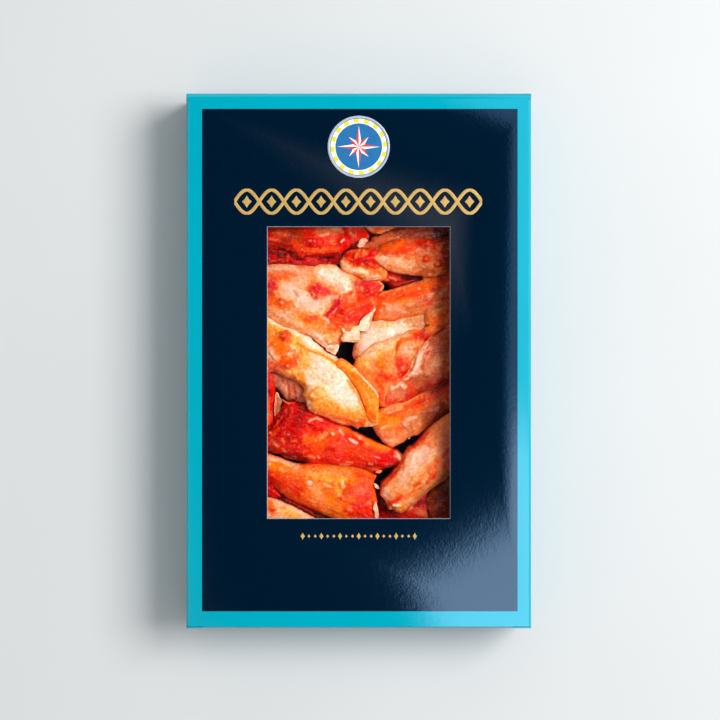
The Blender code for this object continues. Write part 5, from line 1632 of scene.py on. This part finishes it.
# Painted shade: this corner piece lies in shadow under the window's right edge, so its brown base and its umber sides
# and stroke stand for shade.
dress("leg_brown_corner", "brown_meat", (
    31, -66.4, 33, -63.6, 36, -60.6, 40, -58, 44, -55.4, 58, -48, 58, -80, 33.6, -80, 33.6, -74.6, 31.8, -71.6,
    32.6, -69),
    (36, -68, 21.5, 50, -62, 20.5), "brown", "umber", [
    ("tan", 0.3, 2.6, 36, -63, 42, -59),
    ("mauve", 0.5, 0.8, 32.6, -66, 33.6, -71),
    ("mauve", 0.45, 0.9, 37.4, -69.6, 39.4, -69.4),
    ("umber", 0.7, 2.6, 40, -61, 44, -66),
    ("wine", 0.5, 1.5, 34, -64, 37, -66)], drop=3, shoulder=4)
dress("leg_cream_bottom_right", "cream_meat", (
    10.5, -64.8, 10.4, -61.5, 10.9, -59, 13, -56.9, 15.5, -54.3, 18, -51.3, 20, -48.8, 21.2, -46.1, 23, -42.8,
    23.8, -41.6, 26, -40.8, 29, -37.7, 33, -32.9, 36, -30.2, 40, -27.2, 44, -24.8, 58, -18, 58, -40, 45, -54,
    42, -56.6, 38.5, -58.9, 35, -61.6, 32.5, -64.2, 29.5, -66.6, 26.5, -68.8, 24, -70.5, 22, -72.6,
    20.3, -73.4, 18, -72.8, 16.3, -71.6, 14.2, -71.8, 13.3, -69.5, 12.8, -67.6, 11.7, -66),
    (15, -65, 24.6, 28, -52, 27, 45, -38, 25.5), "peach", "flame", [
    ("tan", 0.35, 5.0, 20, -60, 40, -44),
    ("cream", 0.95, 4.4, 26, -47, 33, -45, 22, -58),
    ("petal", 0.8, 3.2, 27, -46, 31, -43, 22, -56),
    ("white", 0.4, 2.0, 28, -45, 25, -51),
    ("tan", 0.6, 3.4, 38, -34, 41, -40),
    ("blush", 0.5, 2.0, 34, -36, 38, -33),
    ("butter", 0.3, 1.8, 24, -56, 32, -54),
    ("peach", 0.6, 3.0, 22, -62, 30, -57),
    ("tan", 0.8, 2.8, 40, -50, 36, -58, 28, -66),
    ("tan", 0.6, 2.2, 43, -44, 42, -52),
    ("brown", 0.5, 1.2, 43, -53, 36, -60, 30, -65),
    ("orange", 0.7, 2.0, 34, -52, 38, -48),
    ("flame", 0.85, 1.4, 24.6, -41.4, 29, -38.6, 33, -35),
    ("flame", 0.6, 1.0, 31, -39.6, 34, -40.4),
    ("vermilion", 0.95, 0.9, 23, -43, 26, -40.8, 30, -36.8),
    ("pink", 0.8, 0.6, 20.4, -49, 22, -46.4),
    ("flame", 0.9, 1.3, 11.6, -61, 13, -58, 17, -53.8, 20, -50.4),
    ("red", 0.85, 0.9, 14.8, -55.8, 18.6, -52),
    ("flame", 0.7, 0.7, 20.8, -49, 22.6, -45),
    ("petal", 0.8, 1.6, 13.4, -62, 13.6, -65),
    ("orange", 0.9, 0.9, 26.6, -59.8, 29.2, -58),
    ("flame", 0.8, 0.4, 27.4, -59.6, 29, -58.4),
    ("orange", 0.85, 0.9, 24.4, -64.2, 28.4, -61.8),
    ("orange", 0.7, 1.0, 20, -65.4, 25, -65),
    ("flame", 0.9, 1.0, 32.4, -58.2, 35.4, -55.4),
    ("vermilion", 0.9, 0.7, 35.2, -56.4, 36.8, -53.8),
    ("flame", 0.8, 0.8, 36.6, -50, 38, -47.6),
    ("vermilion", 0.85, 0.9, 40.6, -45.6, 43, -42),
    ("flame", 0.7, 0.8, 41, -51, 43.4, -48),
    ("rose", 0.5, 0.9, 38, -40, 42, -38),
    ("vermilion", 0.95, 1.0, 15, -68, 18, -66.6, 20.4, -65),
    ("flame", 0.8, 0.7, 14, -69.4, 17, -68.6),
    ("amber", 0.7, 1.1, 19, -71.4, 23, -69),
    ("tan", 0.8, 0.9, 22, -71.8, 26, -68.8),
    # Painted highlight: a white glint along the tip.
    ("white", 0.95, 0.7, 17, -69.4, 19.6, -69.4),
    ("petal", 0.8, 0.8, 23, -67.6, 25, -66.6),
    ("petal", 0.8, 0.6, 24, -49.2),
    ("petal", 0.8, 0.5, 28, -47.6, 27.6, -49.4)],
    knobs=[(34.5, -53, 1.2, 0.8, "orange", "petal")],
    ridges=[(0.5, 0.7, 15, -68, 20.4, -65), (0.8, 0.9, 16.6, -69.4, 20, -69.4), (0.6, 0.7, 27, -59.6, 29.4, -58),
            (-0.5, 0.5, 24, -64.6, 29, -61.4), (0.6, 1.0, 33, -57, 36.6, -53.8), (-0.4, 0.5, 11.6, -60, 19, -51)],
    drop=4.2, shoulder=7.5, rag=0.35, lumps=0.35)
dress("leg_orange_bottom_left", "orange_meat", (
    -58, -38, -43, -44.8, -40, -46, -37, -47, -34, -48.4, -31, -49.4, -27, -49.4, -22, -48.4, -15, -48.6,
    -8, -49.2, -2, -49.8, 1, -50.6, 4, -52, 6.5, -54.2, 8.6, -55.1, 8.3, -56.3, 7.3, -58.2, 7.6, -60, 8.2, -63,
    8.8, -66, 9.4, -68.2, 7.6, -68.8, 7.2, -72, 7.6, -76, 7, -80, -8, -80, -12, -76.4, -15.5, -74.6,
    -20, -72.7, -24, -70.9, -28, -69.1, -32, -67.1, -35, -65.5, -38, -63.4, -40, -61.6, -42.5, -60, -58, -54),
    (-44, -52, 23.5, -24, -59, 25.8, -6, -64, 25.5, 5, -66, 24, -15, -50, 21.6, -1, -52, 21.6),
    "orange", "vermilion", [
    ("peach", 0.7, 2.2, -30, -53, -16, -54, -6, -54.4),
    ("butter", 0.5, 2.0, -24, -55, -12, -56),
    ("cream", 0.9, 1.1, -43, -46.6, -37, -48.6, -29, -50.6),
    ("petal", 0.8, 0.5, -41, -46.4, -36, -48, -31, -49.8),
    ("amber", 0.8, 1.4, -41, -50.4, -35, -52.4),
    ("vermilion", 0.9, 3.0, -44, -57, -36, -59.4, -31, -61.6),
    ("red", 0.85, 1.7, -43.4, -55, -42, -59),
    ("flame", 0.8, 2.2, -36, -57, -28, -60),
    ("flame", 0.8, 1.6, -36, -63, -28, -66.6, -20, -70.6),
    ("peach", 0.85, 2.8, -21, -62, -18.6, -67.4),
    ("blush", 0.5, 1.6, -18, -67, -14, -70.6),
    ("amber", 0.7, 2.4, -14, -67.6, -10, -69),
    ("butter", 0.85, 1.5, -17, -56.4, -11, -57.4, -6, -57),
    ("cream", 0.8, 0.6, -16.4, -59.2, -13.6, -60.4),
    ("butter", 0.9, 1.2, -10.4, -61, -9.6, -64),
    ("cream", 0.8, 0.8, -8, -58, -7, -60.6),
    ("cream", 0.8, 0.7, -9.6, -64.4, -7.6, -64.8),
    ("flame", 0.8, 1.8, 0, -55.4, 7, -57),
    ("vermilion", 0.85, 0.9, -31, -61.4, -28.4, -64.6),
    ("red", 0.7, 0.5, -29, -63.4, -27.8, -64.8),
    ("pink", 0.9, 3.2, 0.6, -63.4, 4, -64.4),
    ("blush", 0.6, 1.4, -1, -61.6, 3, -61.6),
    ("rose", 0.9, 1.4, -3.4, -61, -5.4, -65),
    ("vermilion", 0.95, 3.6, 0, -69.6, 4.6, -71),
    ("red", 0.9, 1.3, -4, -73.6, 6, -75),
    ("red", 0.8, 0.7, 2.6, -65.4, 5.6, -67),
    ("pink", 0.8, 0.8, 0.4, -59.6, 5.4, -60),
    ("blush", 0.7, 0.8, 4.4, -68.4, 5.4, -67.4),
    ("flame", 0.9, 0.5, 7.4, -60, 8.8, -67.6),
    ("red", 0.9, 0.6, -7.2, -71.6, -6, -72.2),
    ("blush", 0.7, 0.5, -5.4, -70.6, -4.4, -70.8),
    ("flame", 0.9, 0.35, -5, -60.8, -6, -63.6, -7.6, -65.6),
    ("white", 0.97, 0.9, -24, -58.2, -23.2, -58.4),
    ("white", 0.9, 0.5, -42.8, -49.4),
    ("cream", 0.9, 0.6, -37.6, -51.8, -36.4, -52.6),
    ("crimson", 0.7, 0.6, -36, -65.4, -26, -70, -18, -73.4)],
    ridges=[(1.0, 1.2, -23.6, -58.4), (0.7, 0.6, -4.6, -60, -7.8, -66), (-0.5, 0.5, -16.6, -58.4, -12, -59.6),
            (0.5, 0.6, -17, -57, -8, -58), (0.5, 0.5, 7.4, -59, 9, -67.6), (-0.5, 0.6, -31, -60.4, -26, -63)],
    skins=[(0.7, 2.0, -7.8, -66.4, -5, -61, -2.6, -59)], drop=3.6, shoulder=7, rag=0.3, lumps=0.4)
dress("leg_bottom_left", "salmon_meat", (
    -58, -60, -44, -65.2, -42, -65.6, -38, -67, -35, -68.4, -32, -69.4, -29, -70.8, -26, -72.6, -22, -74.8,
    -16, -79, -16, -80, -40, -80, -58, -80),
    (-42, -72, 24, -24, -79, 23), "cream", "orange", [
    ("orange", 0.9, 1.9, -42.6, -68.4, -41.6, -72),
    ("butter", 0.8, 1.6, -36, -72, -30, -75),
    ("vermilion", 0.9, 0.9, -41.6, -71.6),
    ("petal", 0.8, 0.6, -41, -66.4, -34, -69.2, -27, -72.8),
    ("peach", 0.7, 0.6, -37, -70, -35, -71)], drop=3.5, shoulder=5)
print("triangles in the meat:", sum(counts.values()), counts)

# %% [markdown]
# ## Scraps and torn skin
#
# Pulling a leg out of its shell leaves scraps: white shreds of membrane, rags of red skin, loose
# flakes. Each is a small flat sheet cut to an outline, remeshed to clay and then laid over whatever
# is beneath it. To lay it down, the meat's own surface is first turned into a map of heights, with
# one value for every half millimetre of the window.

# %% The map of heights
CELL = 0.5
MAP_LOW = np.array((-62.0, -92.0))
MAP_SHAPE = (248, 372)
heights = np.full(MAP_SHAPE, 2.0)
for piece_points in meat_points:
    spot = ((piece_points[:, :2] - MAP_LOW) / CELL).astype(int)
    spot = np.clip(spot, 0, np.array(MAP_SHAPE) - 1)
    np.maximum.at(heights, (spot[:, 0], spot[:, 1]), piece_points[:, 2])


def spread(grid, reach):
    """Each cell takes the highest value within reach, and then the edges are softened."""
    for _ in range(reach):
        grid = np.maximum.reduce([grid] + [np.roll(grid, step, axis) for axis in (0, 1) for step in (-1, 1)])
    for _ in range(reach + 1):
        grid = (grid * 2 + sum(np.roll(grid, step, axis) for axis in (0, 1) for step in (-1, 1))) / 6
    return grid


near_heights = spread(heights, 1)
wide_heights = spread(heights, 4)


def surface_below(flat, wide):
    spot = ((flat - MAP_LOW) / CELL).astype(int)
    spot = np.clip(spot, 0, np.array(MAP_SHAPE) - 1)
    return (wide_heights if wide else near_heights)[spot[:, 0], spot[:, 1]]


# %% One scrap
def scrap(name, slot, base, rim, outline, strokes=(), lift=0.3, thick=0.7, rest=None, curl=0.35, torn=0.3,
          wide=False):
    """A thin torn sheet with an outline in mm, laid on the meat or held at a height of its own."""
    piece = clay(name, outline, thick, 0.24)
    seed = sum(ord(letter) for letter in name)
    places, normals = points_of(piece.data)
    frill = np.column_stack([crumple(places, 1.8, seed + k) for k in (3, 5)])
    sway = np.column_stack([crumple(places, 5.0, seed + k) for k in (1, 2)])
    places[:, :2] += torn * frill + 0.3 * sway
    ground = surface_below(places[:, :2], wide) if rest is None else rest
    places[:, 2] += ground + lift + curl * crumple(places * (1, 1, 0), 3.2, seed + 7)
    places += 0.10 * crumple(places, 1.2, seed + 9)[:, None] * normals
    move_points(piece.data, places)
    _, along, side = from_line(places[:, :2], spine(places[:, :2]))
    fibre = np.column_stack((along, side, places[:, 2]))
    paint_and_file(piece, places, slot, base, rim, strokes, (), seed, fibre, 0.35)
    return piece


# %% The scraps between the top left leg and the big leg
scrap("skin_between", "red_meat", "crimson", "wine", (
    -46, 47, -46, 54, -40, 54, -34, 53, -32, 51.6, -28, 50.4, -24.6, 51, -20, 51.4, -17.4, 51.2,
    -13, 51.6, -8, 51.6, -8, 46, -14, 46, -20, 45, -30, 45.2, -40, 46, -46, 45.6), [
    ("red", 0.8, 1.4, -45, 50.4, -40, 50.8),
    ("wine", 0.8, 0.8, -45, 51.6, -38, 51.8),
    # Painted shadow: the near-black strokes are the dark gaps between the legs.
    ("soot", 0.97, 0.6, -38.4, 50.6, -35.6, 50.4),
    ("soot", 0.97, 0.7, -31, 48.6, -26, 48),
    ("soot", 0.97, 0.5, -18, 49.6, -12, 49.4),
    ("magenta", 0.7, 0.8, -34, 49.6, -30, 47.4, -24, 47.6),
    ("rose", 0.8, 0.5, -34, 48, -33.6, 51),
    ("pink", 0.75, 1.2, -24, 48.6, -19.4, 47.2),
    ("rose", 0.7, 0.4, -24.4, 49.4, -20, 48.4),
    ("rose", 0.6, 0.4, -42, 47.8, -36, 48.6)],
    rest=20.9, curl=0.5, torn=0.5, thick=0.9)
scrap("shred_left", "cream_meat", "petal", "mauve", (
    -41.4, 51, -40.6, 52.6, -38.6, 52, -37, 51.8, -37.4, 50.6, -39.6, 49.9, -41, 50.2), [
    ("white", 0.8, 0.5, -40.8, 51.4, -39, 50.8)], rest=20.4, torn=0.4)
scrap("shred_top", "cream_meat", "petal", "mauve", (
    -0.6, 54.4, -0.2, 56.6, 1.2, 58.6, 3.4, 58.8, 4.4, 57.4, 3.2, 55.8, 2, 54.2, 0.4, 53.4), [
    ("white", 0.6, 0.6, 0.6, 56, 2, 57.6),
    ("mauve", 0.6, 0.5, 2.4, 55.4, 3.8, 57.2)], lift=0.6, wide=True, torn=0.4)
scrap("film_on_knuckle", "cream_meat", "petal", "tan", (
    1.6, 39, 3.4, 39.8, 6, 40.6, 9, 41, 10.6, 40.4, 10.4, 39.2, 8, 38.5, 5, 38.2, 2.4, 38.2), [
    ("blush", 0.7, 0.6, 3, 38.8, 8, 39.4),
    ("mauve", 0.6, 0.5, 9, 39.4, 10, 40)], lift=0.1, torn=0.25, curl=0.2)

# %% The scraps beside the big leg
scrap("shred_white_upper", "cream_meat", "white", "petal", (
    8, 25.2, 6.4, 23.8, 4.2, 22.2, 2.2, 20.6, 0.7, 18.6, 0.3, 16.8, 0.5, 15.4, 0.2, 14.2, 3.4, 14, 4.6, 15.2,
    5.1, 17, 5.9, 19, 6.6, 21.5, 7.6, 23.3), [
    ("petal", 0.7, 0.5, 1.4, 19, 4.4, 22.2),
    ("tan", 0.7, 0.5, 5.4, 18.8, 7, 23),
    ("ivory", 0.9, 0.9, 2.6, 16, 3.6, 19)], wide=True, thick=1.0, lift=0.1)
scrap("shred_white_lower", "cream_meat", "ivory", "tan", (
    -8.2, 9, -8.7, 11, -7.5, 12.8, -8.3, 14.8, -7.3, 15.7, -6.4, 14.1, -4.8, 13.7, -3.8, 14.9, -2.4, 16.5,
    0.6, 17.1, 0.8, 14.5, 0.4, 12.6, 0.4, 10, -1.2, 8.7, -4, 8.5), [
    ("white", 0.9, 1.1, -6, 11.6, -1.4, 13.4),
    ("peach", 0.8, 0.5, -7.8, 10, -7, 13),
    ("tan", 0.7, 0.5, -4, 9, 0, 9.6),
    ("butter", 0.6, 0.4, -3, 15.6, -0.6, 16.6)], wide=True, thick=1.0, lift=0.1)
scrap("shred_tan", "cream_meat", "white", "tan", (
    -15.4, 4.9, -16, 6.2, -13.4, 7.7, -11.4, 7.5, -10.2, 8, -9.2, 6.8, -9.7, 5.2, -10.6, 4, -11, 2.8,
    -12.4, 3.3, -13.6, 4.3), [
    ("tan", 0.9, 0.7, -15, 5.6, -12.4, 5.4),
    ("mauve", 0.6, 0.5, -13.6, 5, -12, 4.4),
    ("petal", 0.8, 0.5, -12, 6.8, -10.4, 6)], wide=True, lift=0.1)
scrap("tan_film_merus", "cream_meat", "petal", "tan", (
    -25.2, 13, -23, 14.2, -21, 14, -18.6, 12, -16, 9.6, -14.4, 7.4, -16, 6.4, -18.6, 8, -21.4, 10.4,
    -23.4, 11.8), [
    ("tan", 0.8, 0.6, -23, 12.2, -19.4, 9.6, -16.4, 7.2),
    ("blush", 0.7, 0.5, -24, 13.4, -21, 12.8),
    ("white", 0.6, 0.4, -21, 13, -18, 11)], lift=0.1, wide=True, torn=0.25)

# %% The torn edges at the right
scrap("torn_edge_body", "salmon_meat", "petal", "tan", (
    33.8, 8.8, 32.4, 9.3, 30.6, 7.5, 28.6, 5.7, 27.5, 3.1, 25.9, 0.7, 24.9, -2, 24.5, -5, 23.3, -7.6,
    20.8, -9.8, 22.7, -9.6, 25.2, -7.4, 28, -6.8, 29.4, -3.2, 29.7, 0, 30.5, 3, 32.1, 5.8), [
    ("white", 0.9, 1.1, 29.6, 3, 28, -1.4, 26.6, -5),
    ("tan", 0.8, 0.3, 33, 8.7, 28.8, 5.4, 27.9, 3, 27.1, 0, 26.2, -3, 24.2, -6, 21, -8.8),
    ("tan", 0.6, 0.4, 28.6, 4.6, 26.4, -1, 24.6, -5.6)], lift=-0.15, thick=0.8, torn=0.4)
scrap("flake_salmon", "cream_meat", "white", "petal", (
    23.4, -37.3, 24.6, -37, 25.2, -38.2, 24, -38.6), lift=0.2, torn=0.2)

# %% The scraps at the left edge
scrap("strand_left", "salmon_meat", "petal", "mauve", (
    -39.9, -15, -38.7, -15.2, -37.4, -18.2, -36.6, -20, -37.5, -22, -37.7, -25, -38.2, -28.4, -39.6, -29.4,
    -40.6, -26.5, -41, -23.5, -40.3, -19), [
    ("rose", 0.7, 0.5, -40, -20, -39.8, -26.6),
    ("mauve", 0.7, 0.8, -38.4, -18, -38.4, -23),
    ("brown", 0.6, 0.35, -39.2, -16.4, -39, -22, -39.2, -27.6)], rest=20.4, torn=0.35, thick=1.0)
scrap("skin_behind_strand", "red_meat", "crimson", "wine", (
    -38, -18, -35.6, -18.6, -33, -20, -32.6, -23, -34, -26, -37, -27.4, -38.2, -24), [
    ("wine", 0.8, 1.2, -36.4, -21, -36, -24),
    ("flame", 0.9, 0.35, -37.2, -18.6, -33, -21),
    ("peach", 0.8, 0.3, -36, -24, -37, -25.6)], rest=19.0, torn=0.5)
scrap("rolled_skin", "red_meat", "red", "crimson", (
    -36.2, -20.4, -34.6, -19.6, -32.4, -19.5, -30.6, -20, -29.9, -22, -30.2, -24.6, -31.6, -27, -34, -29,
    -36, -31.8, -38.5, -34.9, -42, -37.3, -46, -39.4, -46, -35.4, -42.6, -33.4, -40.6, -30.8, -38.2, -27.4,
    -35.8, -24.6, -36.6, -22.6), [
    ("crimson", 0.8, 0.8, -33, -22.6, -34, -26, -38, -30.6),
    ("rose", 0.85, 0.5, -35, -20.2, -31.4, -20.4),
    ("rose", 0.7, 0.4, -31.2, -23, -32.6, -26.4),
    ("rose", 0.7, 0.35, -36.6, -27, -40.4, -31.8),
    ("peach", 0.8, 0.5, -42.6, -34.4, -39.6, -36),
    ("flame", 0.8, 0.6, -38, -32.4, -41.4, -35.4)],
    lift=0.5, thick=1.4, torn=0.5)
scrap("strand_orange", "orange_meat", "peach", "flame", (
    -37.6, -18.3, -36.4, -18.7, -34.6, -19.7, -32.8, -20.6, -33, -21.2, -35, -20.4, -37.2, -19.2), lift=0.5,
    thick=0.5, torn=0.2, wide=True)

# %% The scraps at the bottom
scrap("flake_bottom", "cream_meat", "petal", "mauve", (
    7.8, -67.6, 7.1, -69.5, 6.9, -71.2, 7.4, -72.6, 7.9, -75.6, 9.5, -75.6, 9.6, -72, 9.1, -69.5, 8.4, -67.8), [
    ("white", 0.8, 0.4, 8.2, -68.6, 8.4, -74)], rest=22.2, curl=0.2, torn=0.25)
scrap("flake_beside_leg", "cream_meat", "petal", "tan", (
    7.2, -58.7, 8.4, -59.1, 9.4, -60.1, 10, -61.8, 8.8, -61.9, 7.9, -60.8), lift=0.2, wide=True, torn=0.2)
scrap("flake_under_red_leg", "cream_meat", "blush", "wine", (
    8.1, -52.3, 10.6, -52.1, 11.4, -52.8, 10.4, -54.0, 8.6, -53.8), rest=20.6, torn=0.45)
# Its sides take the near-black pot: painted shade where they turn down into the gap.
scrap("skin_under_bottom", "red_meat", "wine", "soot", (
    -41, -64.4, -36, -64.8, -30, -67.6, -24, -70.6, -16, -74.6, -16.6, -76.6, -21, -76, -26, -73.2, -32, -69.9,
    -38, -67), [
    ("wine", 0.8, 1.0, -36, -66.4, -28, -70.6),
    ("vermilion", 0.7, 0.4, -34, -66.8, -22, -72.8)], rest=19.6, curl=0.3)
scrap("scrap_dark_left", "red_meat", "red", "wine", (
    -46, -58, -42, -59.8, -39, -62.6, -37.4, -64.8, -40, -65.8, -43.5, -64.8, -46, -63.6), [
    ("rose", 0.6, 0.4, -43.4, -60.6, -39, -64),
    ("brown", 0.6, 0.7, -43, -63.4)], rest=20.8, curl=0.4)
